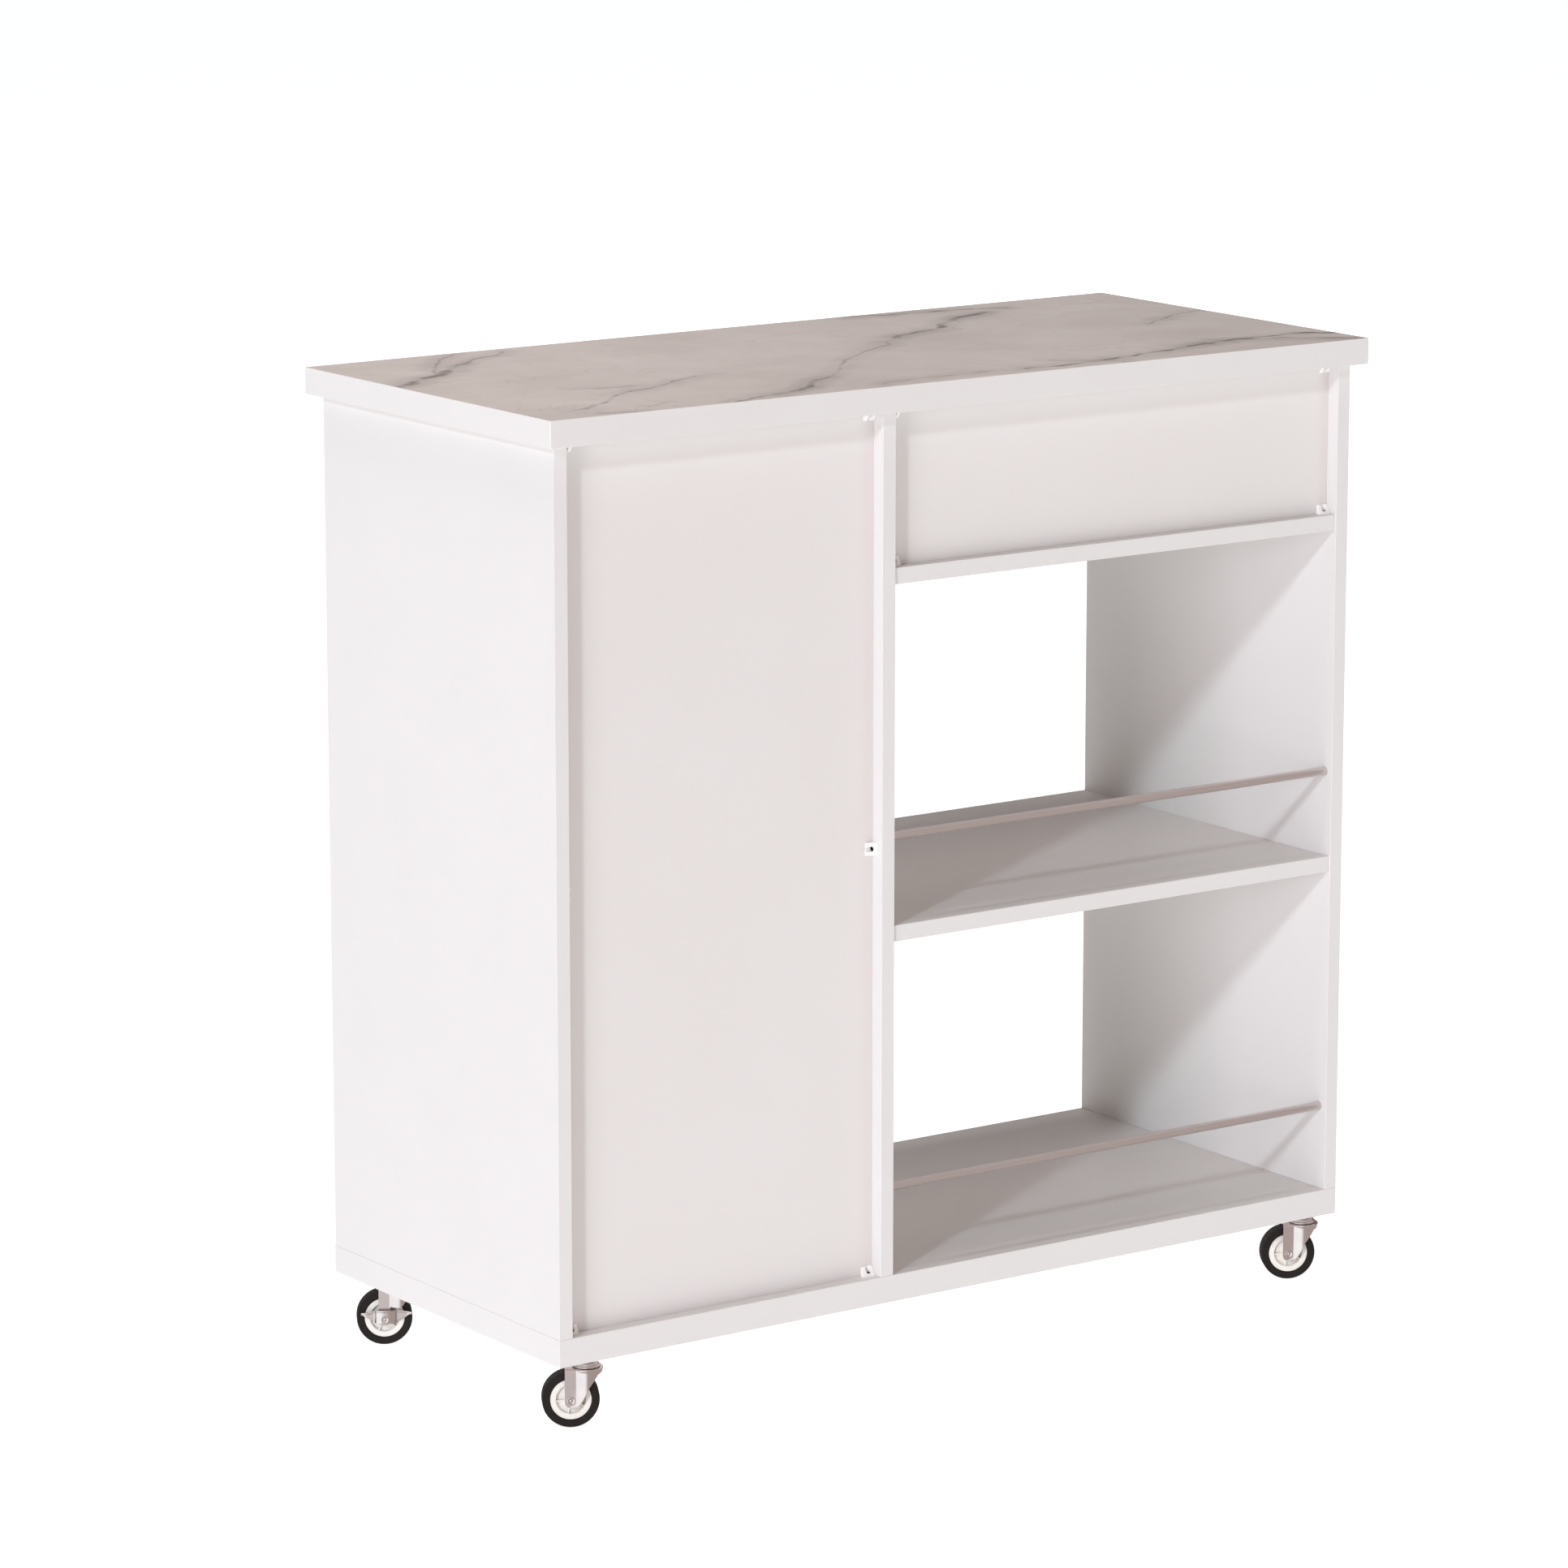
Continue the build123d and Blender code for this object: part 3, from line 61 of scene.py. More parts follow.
bpy.context.scene.collection.objects.link(camera)
bpy.context.scene.camera = camera


# Studio. A seamless white floor, one low sun that throws the soft slanting shadows into the open
# bays, and softboxes all round. Bare metal mirrors only the walls: bright on the lamps' side, a dim
# warm grey elsewhere, with a dark flag across from the lamps.
def linear(hex_colour):
    """A colour written as sRGB hex, as the linear values that shaders take."""
    parts = [int(hex_colour[at:at + 2], 16) / 255 for at in (1, 3, 5)]
    return tuple(p / 12.92 if p <= 0.04045 else ((p + 0.055) / 1.055) ** 2.4 for p in parts) + (1.0,)


def add(tree, kind, inputs=(), **settings):
    """Add a shader node. inputs pairs a socket's name or place with a value, or with an output to link."""
    made = tree.nodes.new("ShaderNode" + kind)
    for name, value in settings.items():
        setattr(made, name, value)
    for name, value in dict(inputs).items():
        if isinstance(value, bpy.types.NodeSocket):
            tree.links.new(value, made.inputs[name])
        else:
            made.inputs[name].default_value = value
    return made


def heading(azimuth):
    """Level direction at an azimuth in degrees, from +Y towards +X."""
    return Vector((sin(radians(azimuth)), cos(radians(azimuth)), 0.0))


bpy.context.scene.view_settings.view_transform = "Standard"

world = bpy.data.worlds.new("studio")
world.use_nodes = True
walls = world.node_tree
walls.nodes.clear()
outwards = add(walls, "TexCoord").outputs["Generated"]
white_light = (1.0, 1.0, 1.0, 1.0)
dim_grey = (0.55, 0.49, 0.465, 1.0)
lamp_glare = (1.42, 1.5, 1.56, 1.0)
flag_grey = (0.22, 0.2, 0.2, 1.0)
wall_colour = None
# Which way each patch of wall faces, how near to that it begins and is full, as cosines, and its light
for towards, begins, full, light in (
        (heading(70), 0.63, 0.85, lamp_glare),
        ((heading(245) + Vector((0, 0, 0.3))).normalized(), 0.79, 0.93, flag_grey)):
    near_patch = add(walls, "VectorMath", {0: outwards, 1: towards}, operation="DOT_PRODUCT")
    near_patch = add(walls, "MapRange", {
        "Value": near_patch.outputs["Value"], "From Min": begins, "From Max": full},
        interpolation_type="SMOOTHSTEP")
    behind = dim_grey if wall_colour is None else wall_colour.outputs["Result"]
    wall_colour = add(walls, "Mix", {
        "Factor": near_patch.outputs[0], "A": behind, "B": light}, data_type="RGBA")
# Metal mirrors the patches, the camera sees plain white, and the rest of the light is a faint glow
wall_mirrored = add(walls, "Background", {"Color": wall_colour.outputs["Result"], "Strength": 1.0})
wall_glow = add(walls, "Background", {"Color": white_light, "Strength": 0.05})
wall_seen = add(walls, "Background", {"Color": white_light, "Strength": 1.0})
ray = add(walls, "LightPath")
wall_lit = add(walls, "MixShader", {
    0: ray.outputs["Is Glossy Ray"], 1: wall_glow.outputs[0], 2: wall_mirrored.outputs[0]})
wall_lit = add(walls, "MixShader", {
    0: ray.outputs["Is Camera Ray"], 1: wall_lit.outputs[0], 2: wall_seen.outputs[0]})
add(walls, "OutputWorld", {"Surface": wall_lit.outputs[0]})
bpy.context.scene.world = world


def hang_lamp(name, kind, place, aim, energy, colour, **settings):
    """A lamp at a place, turned to face a point."""
    lamp_data = bpy.data.lights.new(name, kind)
    lamp_data.energy = energy
    lamp_data.color = colour
    for setting, value in settings.items():
        setattr(lamp_data, setting, value)
    lamp = bpy.data.objects.new(name, lamp_data)
    turn = (Vector(aim) - Vector(place)).to_track_quat("-Z", "Y").to_matrix().to_4x4()
    lamp.matrix_world = Matrix.Translation(place) @ turn
    lamp.visible_glossy = False
    bpy.context.scene.collection.objects.link(lamp)


hang_lamp("sun", "SUN", (1.7, 1.0, 0.98), (0, 0, 0), 0.93, (0.84, 1.0, 1.07), angle=radians(4))
cart_middle = (0.0, 0.0, 0.5)
cart_top = (0.2, 0.0, 0.9)
# Each softbox's azimuth in degrees, how far away and how high it hangs in metres, what it faces, its
# watts and colour, and its width and height in metres
for name, azimuth, away, up, aim, watts, colour, width, height in (
        ("key_softbox", 66, 9.0, 1.2, cart_middle, 306, (0.95, 0.92, 1.0), 2.6, 2.2),
        ("high_softbox", 20, 6.364, 6.4, cart_middle, 80, (1.0, 0.4, 0.2), 5.0, 5.0),
        ("fill_softbox", -35, 9.0, 2.0, cart_middle, 128, (0.82, 0.97, 1.0), 5.0, 3.5),
        ("top_softbox", 90, 0.9, 6.0, cart_top, 175, (1.0, 0.945, 0.93), 1.6, 1.6),
        ("front_softbox", 215, 9.0, 0.8, cart_middle, 250, (1.0, 0.97, 0.96), 4.0, 1.4)):
    hang_lamp(name, "AREA", heading(azimuth) * away + Vector((0, 0, up)), aim, watts, colour,
              shape="RECTANGLE", size=width, size_y=height)

floor_mesh = bpy.data.meshes.new("studio_floor")
floor_half = 60.0
floor_mesh.from_pydata(
    [(-floor_half, -floor_half, 0), (floor_half, -floor_half, 0), (floor_half, floor_half, 0),
     (-floor_half, floor_half, 0)], [], [(0, 1, 2, 3)])
floor = bpy.data.objects.new("studio_floor", floor_mesh)
bpy.context.scene.collection.objects.link(floor)
floor_paint = bpy.data.materials.new("studio_floor_white")
floor_paint.use_nodes = True
floor_paint.node_tree.nodes.clear()
floor_shader = add(floor_paint.node_tree, "BsdfPrincipled", {
    "Base Color": linear("#BCBCBC"), "Roughness": 1.0, "Specular IOR Level": 0.0,
    "Emission Color": linear("#FFFFFF"), "Emission Strength": 0.9})
add(floor_paint.node_tree, "OutputMaterial", {"Surface": floor_shader.outputs[0]})
floor.data.materials.append(floor_paint)
floor.visible_glossy = False


# Boards. Particle board faced with white melamine paper, pressed against an etched steel plate,
# its edges closed with a thin plastic band. All the boards are joined with cams and dowels.
mm = 0.001


def new_finish(name):
    """An empty material and its node tree, with the place on the object as the third value."""
    material = bpy.data.materials.new(name)
    material.use_nodes = True
    tree = material.node_tree
    tree.nodes.clear()
    return material, tree, add(tree, "TexCoord").outputs["Object"]


def coat(tree, inputs):
    """Close a material with a Principled shader that has these inputs."""
    shader = add(tree, "BsdfPrincipled", inputs)
    add(tree, "OutputMaterial", {"Surface": shader.outputs[0]})


def dress(material, *names):
    """Give CAD nodes their finish."""
    for name in names:
        mesh = nodes[name].data
        mesh.materials.clear()
        mesh.materials.append(material)


# Melamine: the press plate leaves a fine pebble that breaks reflections into a soft sheen, and the
# paper's white drifts by a hair over a hand's breadth.
melamine, tree, place = new_finish("pressed_white_melamine")
pebble_size = 1.2 * mm  # the real pebble is 0.3 mm, which is too fine to show
pebble = add(tree, "TexNoise", {"Vector": place, "Scale": 1 / pebble_size, "Detail": 3.0})
drift_size = 90 * mm
drift = add(tree, "TexNoise", {"Vector": place, "Scale": 1 / drift_size, "Detail": 3.0})
white = add(tree, "Mix", {
    "Factor": drift.outputs[0], "A": linear("#DFDCDB"), "B": linear("#DBD8D6")}, data_type="RGBA")
sheen = add(tree, "MapRange", {
    "Value": pebble.outputs[0], "From Min": 0.3, "From Max": 0.7, "To Min": 0.36, "To Max": 0.46})
pebbled = add(tree, "Bump", {"Height": pebble.outputs[0], "Strength": 0.25, "Distance": 0.03 * mm})
coat(tree, {"Base Color": white.outputs["Result"], "Roughness": sheen.outputs[0], "IOR": 1.5,
            "Normal": pebbled.outputs[0]})
dress(melamine, "top_board", "bottom_board", "cupboard_side_panel", "shelf_side_panel", "divider_panel",
      "mid_shelf", "drawer_bay_shelf", "cupboard_shelves", "door_panel", "drawer_front",
      "drawer_left_side", "drawer_right_side", "drawer_back")


# Back panels and drawer bottom. Thin hardboard with a rolled white lacquer, slid into grooves. The
# lacquer keeps a faint orange peel over the pressed fibres, and is smoother than the melamine.
lacquer, tree, place = new_finish("lacquered_hardboard")
peel_size = 2.5 * mm
peel = add(tree, "TexNoise", {"Vector": place, "Scale": 1 / peel_size, "Detail": 1.0})
fibre_size = 1.4 * mm  # real fibres are 0.1 mm thick, drawn coarser so that they show
fibre = add(tree, "TexNoise", {"Vector": place, "Scale": 1 / fibre_size, "Detail": 4.0, "Distortion": 1.5})
relief = add(tree, "Math", {0: peel.outputs[0], 1: fibre.outputs[0]}, operation="ADD")
drift_size = 130 * mm
drift = add(tree, "TexNoise", {"Vector": place, "Scale": 1 / drift_size, "Detail": 2.0})
white = add(tree, "Mix", {
    "Factor": drift.outputs[0], "A": linear("#E0DBDA"), "B": linear("#DCD7D5")}, data_type="RGBA")
peeled = add(tree, "Bump", {"Height": relief.outputs[0], "Strength": 0.2, "Distance": 0.04 * mm})
coat(tree, {"Base Color": white.outputs["Result"], "Roughness": 0.42, "IOR": 1.5,
            "Normal": peeled.outputs[0]})
dress(lacquer, "cupboard_back_panel", "drawer_back_panel", "drawer_bottom")


# Top sheet. High-pressure laminate with a printed marble, glued on the top board and trimmed flush,
# so that its cut edge shows white. Under its clear gloss lie soft grey clouds and dark veins, which
# run across the top on a slant and break up as they go.
marble, tree, place = new_finish("marble_print_laminate")
bend_size, bend = 160 * mm, 70 * mm
ragged_size, ragged = 26 * mm, 14 * mm
half = (0.5, 0.5, 0.5)
wander = add(tree, "TexNoise", {"Vector": place, "Scale": 1 / bend_size, "Detail": 2.0})
wander = add(tree, "VectorMath", {0: wander.outputs["Color"], 1: half}, operation="SUBTRACT")
wander = add(tree, "VectorMath", {0: wander.outputs[0], "Scale": bend}, operation="SCALE")
jitter = add(tree, "TexNoise", {"Vector": place, "Scale": 1 / ragged_size, "Detail": 3.0})
jitter = add(tree, "VectorMath", {0: jitter.outputs["Color"], 1: half}, operation="SUBTRACT")
jitter = add(tree, "VectorMath", {0: jitter.outputs[0], "Scale": ragged}, operation="SCALE")
bent = add(tree, "VectorMath", {0: place, 1: wander.outputs[0]}, operation="ADD")
bent = add(tree, "VectorMath", {0: bent.outputs[0], 1: jitter.outputs[0]}, operation="ADD")
on_top = add(tree, "VectorMath", {0: bent.outputs[0], 1: (1.0, 1.0, 0.0)}, operation="MULTIPLY")
# Where each vein starts and ends on the top in metres, its half width and how dark it is
veins = (
    ((0.452, -0.035), (0.350, -0.105), 6.0 * mm, 1.0),
    ((0.350, -0.105), (0.255, -0.172), 4.0 * mm, 0.85),
    ((0.375, -0.092), (0.300, -0.186), 3.0 * mm, 0.6),
    ((0.402, 0.172), (0.180, 0.050), 2.6 * mm, 0.6),
    ((0.398, 0.186), (0.350, 0.212), 3.4 * mm, 0.6),
    ((0.325, 0.062), (0.250, 0.092), 3.0 * mm, 0.55),
    ((0.260, 0.210), (0.110, 0.134), 4.2 * mm, 0.85),
    ((0.110, 0.134), (-0.090, -0.052), 2.6 * mm, 0.5),
    ((-0.090, -0.052), (-0.250, -0.136), 5.5 * mm, 0.95),
    ((-0.130, -0.200), (-0.290, -0.150), 4.0 * mm, 0.75),
    ((0.090, 0.192), (-0.060, 0.184), 2.6 * mm, 0.5),
    ((-0.060, 0.184), (-0.240, 0.170), 4.6 * mm, 0.9),
    ((-0.120, 0.150), (-0.170, 0.205), 2.6 * mm, 0.6),
    ((-0.240, 0.170), (-0.452, 0.150), 5.5 * mm, 1.0),
    ((-0.330, 0.155), (-0.452, 0.196), 3.6 * mm, 0.75),
    ((-0.350, 0.004), (-0.452, -0.048), 2.6 * mm, 0.5),
)
halo_reach, glow_strength = 26 * mm, 0.8
dark = glow = None
for start, end, half_width, depth in veins:
    run = Vector((end[0] - start[0], end[1] - start[1], 0.0))
    from_start = add(tree, "VectorMath", {0: on_top.outputs[0], 1: (*start, 0.0)}, operation="SUBTRACT")
    along = add(tree, "VectorMath", {0: from_start.outputs[0], 1: run / run.length_squared},
                operation="DOT_PRODUCT")
    along = add(tree, "Clamp", {"Value": along.outputs["Value"]})
    foot = add(tree, "VectorMath", {0: run, "Scale": along.outputs[0]}, operation="SCALE")
    off = add(tree, "VectorMath", {0: from_start.outputs[0], 1: foot.outputs[0]}, operation="DISTANCE")
    core = add(tree, "MapRange", {
        "Value": off.outputs["Value"], "From Min": 0.2 * half_width, "From Max": half_width,
        "To Min": depth, "To Max": 0.0}, interpolation_type="SMOOTHSTEP").outputs[0]
    haze = add(tree, "MapRange", {
        "Value": off.outputs["Value"], "From Min": 0.0, "From Max": halo_reach,
        "To Min": depth, "To Max": 0.0}, interpolation_type="SMOOTHERSTEP").outputs[0]
    dark = core if dark is None else add(tree, "Math", {0: dark, 1: core}, operation="MAXIMUM").outputs[0]
    glow = haze if glow is None else add(tree, "Math", {0: glow, 1: haze}, operation="MAXIMUM").outputs[0]
# The dark cores come and go along the veins
break_size = 30 * mm
breaks = add(tree, "TexNoise", {"Vector": place, "Scale": 1 / break_size, "Detail": 4.0})
breaks = add(tree, "MapRange", {
    "Value": breaks.outputs[0], "From Min": 0.4, "From Max": 0.58, "To Min": 0.25, "To Max": 1.0})
dark = add(tree, "Math", {0: dark, 1: breaks.outputs[0]}, operation="MULTIPLY")
# Hair veins run where a slow noise crosses its middle value, in some patches only
hair_size, patch_size, cloud_size = 110 * mm, 140 * mm, 120 * mm
hair_reach, hair_depth = 0.008, 0.3  # how far from the middle value, and how dark
hair = add(tree, "TexNoise", {
    "Vector": bent.outputs[0], "Scale": 1 / hair_size, "Detail": 3.0, "Distortion": 1.0})
hair = add(tree, "Math", {0: hair.outputs[0], 1: 0.5}, operation="SUBTRACT")
hair = add(tree, "Math", {0: hair.outputs[0]}, operation="ABSOLUTE")
hair = add(tree, "MapRange", {
    "Value": hair.outputs[0], "From Min": 0.0, "From Max": hair_reach,
    "To Min": hair_depth, "To Max": 0.0})
patch = add(tree, "TexNoise", {"Vector": place, "Scale": 1 / patch_size, "Detail": 2.0})
patch = add(tree, "MapRange", {"Value": patch.outputs[0], "From Min": 0.48, "From Max": 0.66})
hair = add(tree, "Math", {0: hair.outputs[0], 1: patch.outputs[0]}, operation="MULTIPLY")
cloud = add(tree, "TexNoise", {
    "Vector": bent.outputs[0], "Scale": 1 / cloud_size, "Detail": 5.0, "Roughness": 0.6})
cloud = add(tree, "MapRange", {"Value": cloud.outputs[0], "From Min": 0.3, "From Max": 0.7})
ground = add(tree, "Mix", {
    "Factor": cloud.outputs[0], "A": linear("#E4DCD7"), "B": linear("#D0C7C1")}, data_type="RGBA")
# Clouds gather along the veins, and then come the hairs and the dark cores
glow = add(tree, "Math", {0: glow, 1: cloud.outputs[0]}, operation="MULTIPLY")
glow = add(tree, "Math", {0: glow.outputs[0], 1: glow_strength}, operation="MULTIPLY")
hazed = add(tree, "Mix", {
    "Factor": glow.outputs[0], "A": ground.outputs["Result"], "B": linear("#8E8684")}, data_type="RGBA")
haired = add(tree, "Mix", {
    "Factor": hair.outputs[0], "A": hazed.outputs["Result"], "B": linear("#857E7C")}, data_type="RGBA")
veined = add(tree, "Mix", {
    "Factor": dark.outputs[0], "A": haired.outputs["Result"], "B": linear("#5C5553")}, data_type="RGBA")
# Only the face that looks up is printed, and the sheet's cut edge shows the white core
facing = add(tree, "SeparateXYZ", {0: add(tree, "TexCoord").outputs["Normal"]})
is_face = add(tree, "Math", {0: facing.outputs[2], 1: 0.8}, operation="GREATER_THAN")
print_or_edge = add(tree, "Mix", {
    "Factor": is_face.outputs[0], "A": linear("#DEDBD9"), "B": veined.outputs["Result"]}, data_type="RGBA")
wipe_size = 60 * mm  # streaks left by a cloth
wipe = add(tree, "TexNoise", {"Vector": place, "Scale": 1 / wipe_size, "Detail": 3.0})
gloss = add(tree, "MapRange", {"Value": wipe.outputs[0], "To Min": 0.1, "To Max": 0.2})
coat(tree, {"Base Color": print_or_edge.outputs["Result"], "Roughness": gloss.outputs[0], "IOR": 1.5})
dress(marble, "top_laminate")


# Back panel clips and door catch. Small wedges and a case, moulded in white ABS with a fine spark
# texture. Each wedge is pressed against its panel and held by one screw.
abs_plastic, tree, place = new_finish("moulded_white_abs")
spark_size = 0.8 * mm  # the real texture is 0.1 mm, which is too fine to show
spark = add(tree, "TexNoise", {"Vector": place, "Scale": 1 / spark_size, "Detail": 2.0})
flow_size = 9 * mm  # how far the plastic flows from the gate before its tone drifts
flow = add(tree, "TexNoise", {"Vector": place, "Scale": 1 / flow_size, "Detail": 2.0})
white = add(tree, "Mix", {
    "Factor": flow.outputs[0], "A": linear("#FAF9F8"), "B": linear("#F3F1EF")}, data_type="RGBA")
sparked = add(tree, "Bump", {"Height": spark.outputs[0], "Strength": 0.3, "Distance": 0.05 * mm})
coat(tree, {"Base Color": white.outputs["Result"], "Roughness": 0.38, "IOR": 1.53,
            "Subsurface Weight": 0.05, "Subsurface Radius": (3 * mm, 3 * mm, 3 * mm),
            "Normal": sparked.outputs[0]})
dress(abs_plastic, "back_panel_clips", "magnetic_catch")


# Guard rails, bar pulls, hinges and shelf pins. Steel tube and pressed steel, nickel plated over a
# brushed ground: the brush leaves fine lines along each piece that smear its highlights.
def brushed_nickel(name, along):
    """Nickel over a brushed ground, with its lines running along one axis of the frame."""
    material, tree, place = new_finish(name)
    line_width = 0.5 * mm  # real brush lines are 0.05 mm, drawn coarser so that they show
    line_length = 60 * mm
    stretch = [1 / line_width] * 3
    stretch[along] = 1 / line_length
    lines = add(tree, "VectorMath", {0: place, 1: stretch}, operation="MULTIPLY")
    brush = add(tree, "TexNoise", {"Vector": lines.outputs[0], "Scale": 1.0, "Detail": 3.0})
    metal = add(tree, "Mix", {
        "Factor": brush.outputs[0], "A": linear("#E4DCDB"), "B": linear("#CEC5C3")}, data_type="RGBA")
    grain = add(tree, "MapRange", {"Value": brush.outputs[0], "To Min": 0.3, "To Max": 0.46})
    relief = add(tree, "Bump", {"Height": brush.outputs[0], "Strength": 0.2, "Distance": 0.02 * mm})
    coat(tree, {"Base Color": metal.outputs["Result"], "Metallic": 1.0, "Roughness": grain.outputs[0],
                "Normal": relief.outputs[0]})
    return material


dress(brushed_nickel("brushed_nickel_lengthwise", 0), "guard_rails", "drawer_handle")
dress(brushed_nickel("brushed_nickel_upright", 2), "door_handle", "hinge_frame_leaves",
      "hinge_door_leaves", "hinge_pins", "shelf_pins")


# Screws, cams, bolts and the catch's strike. Steel and zinc castings with a bright zinc plating,
# which is slightly blue, with the soft cloudy bloom that a barrel leaves on small parts.
def plated_zinc(name, light, deep, smooth, rough, bloom_size):
    """Bright zinc plating that varies between two tones and two roughnesses."""
    material, tree, place = new_finish(name)
    bloom = add(tree, "TexNoise", {"Vector": place, "Scale": 1 / bloom_size, "Detail": 4.0})
    metal = add(tree, "Mix", {
        "Factor": bloom.outputs[0], "A": linear(light), "B": linear(deep)}, data_type="RGBA")
    polish = add(tree, "MapRange", {
        "Value": bloom.outputs[0], "From Min": 0.3, "From Max": 0.7, "To Min": smooth, "To Max": rough})
    tumble_size = 0.7 * mm  # tumbling dents are finer than this, drawn coarser so that they show
    tumble = add(tree, "TexNoise", {"Vector": place, "Scale": 1 / tumble_size, "Detail": 1.0})
    dents = add(tree, "Bump", {"Height": tumble.outputs[0], "Strength": 0.12, "Distance": 0.03 * mm})
    coat(tree, {"Base Color": metal.outputs["Result"], "Metallic": 1.0, "Roughness": polish.outputs[0],
                "Normal": dents.outputs[0]})
    return material


screw_zinc = plated_zinc("barrel_plated_zinc", "#D3D0CE", "#BDB9B7", 0.24, 0.4, 2.5 * mm)
dress(screw_zinc, "bottom_screws", "cam_bolts", "catch_strike", "door_handle_screws",
      "drawer_handle_screws", "drawer_fasteners", "caster_insert_nuts", "hinge_door_screws")
# Painted shade: the carcass screws are near black all over, so that the shade in their cross recesses
# shows as a dark dot.
recess_shade_dark_screws = plated_zinc("dark_screw_steel_painted_recess_shade", "#2E2B2A", "#1F1C1B", 0.4, 0.6, 1.5 * mm)
dress(recess_shade_dark_screws, "carcass_screws")
cast_zinc = plated_zinc("die_cast_zinc", "#B9B5B2", "#A29D9A", 0.38, 0.55, 3.5 * mm)
dress(cast_zinc, "cam_locks")


# Wooden dowels. Beech rod, turned and fluted, glued dry into the boards: pale pinkish brown with
# short darker flecks along the grain.
beech, tree, place = new_finish("turned_beech")
fleck_width, fleck_length = 1.2 * mm, 14 * mm
grain_scale = (1 / fleck_width, 1 / fleck_width, 1 / fleck_length)
grained = add(tree, "VectorMath", {0: place, 1: grain_scale}, operation="MULTIPLY")
fleck = add(tree, "TexNoise", {"Vector": grained.outputs[0], "Scale": 1.0, "Detail": 3.0})
wood = add(tree, "Mix", {
    "Factor": fleck.outputs[0], "A": linear("#D9B48A"), "B": linear("#B98C62")}, data_type="RGBA")
flute = add(tree, "Bump", {"Height": fleck.outputs[0], "Strength": 0.4, "Distance": 0.1 * mm})
coat(tree, {"Base Color": wood.outputs["Result"], "Roughness": 0.7, "IOR": 1.5,
            "Normal": flute.outputs[0]})
dress(beech, "wood_dowels")


# Drawer runners. Cold-rolled steel channels with a thin galvanised coat, rolled to shape, with ball
# cages between them: a dull grey with faint rolling lines along their length.
runner_steel, tree, place = new_finish("rolled_galvanised_steel")
line_width = 0.8 * mm  # real rolling lines are 0.1 mm, drawn coarser so that they show
line_length = 90 * mm
rolled = add(tree, "VectorMath", {0: place, 1: (1 / line_width, 1 / line_length, 1 / line_width)},
             operation="MULTIPLY")
rolling = add(tree, "TexNoise", {"Vector": rolled.outputs[0], "Scale": 1.0, "Detail": 3.0})
spangle_size = 5 * mm
spangle = add(tree, "TexVoronoi", {"Vector": place, "Scale": 1 / spangle_size})
tone = add(tree, "Mix", {
    "Factor": spangle.outputs["Color"], "A": linear("#B9B8B6"), "B": linear("#A7A6A5")}, data_type="RGBA")
dull = add(tree, "MapRange", {"Value": rolling.outputs[0], "To Min": 0.28, "To Max": 0.48})
drawn = add(tree, "Bump", {"Height": rolling.outputs[0], "Strength": 0.2, "Distance": 0.03 * mm})
coat(tree, {"Base Color": tone.outputs["Result"], "Metallic": 1.0, "Roughness": dull.outputs[0],
            "Normal": drawn.outputs[0]})
dress(runner_steel, "runner_cabinet_members", "runner_drawer_members", "runner_ball_cages")


# Casters. Each has its own frame: x from the wheel towards the swivel, y up, z along the axle. They
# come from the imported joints, so every caster piece sits on the wheel's centre.
joints = {joint["name"]: joint for joint in frame["joints"]}
casters = ("front_left", "front_right", "rear_left", "rear_right")
braked = ("front_left", "front_right")


def wheel_frame(caster):
    """Where a caster's wheel stands, as a matrix."""
    spin = joints[caster + "_wheel_spin"]
    along_axle = Vector(spin["axis"]).normalized()
    upwards = Vector((0, 0, 1))
    return Matrix.Translation(spin["pos_m"]) @ Matrix(
        (upwards.cross(along_axle), upwards, along_axle)).transposed().to_4x4()


sharp_angle = radians(38)


def piece_from(shape, name, matrix, material, sheet=False):
    """A new piece from a bmesh, smooth where it curves and sharp at its edges."""
    if not sheet:
        bmesh.ops.recalc_face_normals(shape, faces=shape.faces)
    for edge in shape.edges:
        edge.smooth = len(edge.link_faces) < 2 or edge.calc_face_angle() < sharp_angle
    for face in shape.faces:
        face.smooth = True
    mesh = bpy.data.meshes.new(name)
    shape.to_mesh(mesh)
    shape.free()
    mesh.materials.append(material)
    piece = bpy.data.objects.new(name, mesh)
    bpy.context.scene.collection.objects.link(piece)
    piece.matrix_world = matrix
    return piece


def hold_flats(piece):
    """Let wide faces keep their own shading beside narrow rounded edges."""
    weighted = piece.modifiers.new("flat_faces", "WEIGHTED_NORMAL")
    weighted.keep_sharp = True


def round_in(steps):
    """Angles that go once round in equal steps."""
    return [2 * pi * n / steps for n in range(steps)]


def join_rings(shape, rings):
    """Faces between rings that follow one another all the way round."""
    for at in range(len(rings)):
        near, far = rings[at - 1], rings[at]
        for number in range(len(far)):
            shape.faces.new((near[number - 1], near[number], far[number], far[number - 1]))


def turned(shape, section, angles, reach=None):
    """Turn a closed section of (radius, height) points about z, with reach giving other radii by angle."""
    rings = []
    for angle in angles:
        ring = []
        for number, (radius, height) in enumerate(section):
            far = reach(number, angle, radius) if reach else radius
            ring.append(shape.verts.new((far * cos(angle), far * sin(angle), height)))
        rings.append(ring)
    join_rings(shape, rings)


def both_sides(half_section):
    """A closed section from its front half, mirrored to the back."""
    return list(half_section) + [(radius, -height) for radius, height in reversed(half_section)]


# Tyres. Black rubber moulded round the rim, with fine cross ribs over the tread and a thin bead
# just inside each shoulder. The mould leaves it dull, with a little bloom and floor dust.
wheel_radius = joints["rear_right_wheel_spin"]["pos_m"][2] - 0.01 * mm
tyre_bore = 18.4 * mm
tyre_half = 8.5 * mm
tooth_depth = 0.5 * mm
teeth = 96
steps_per_tooth = 4
tread_points = 5

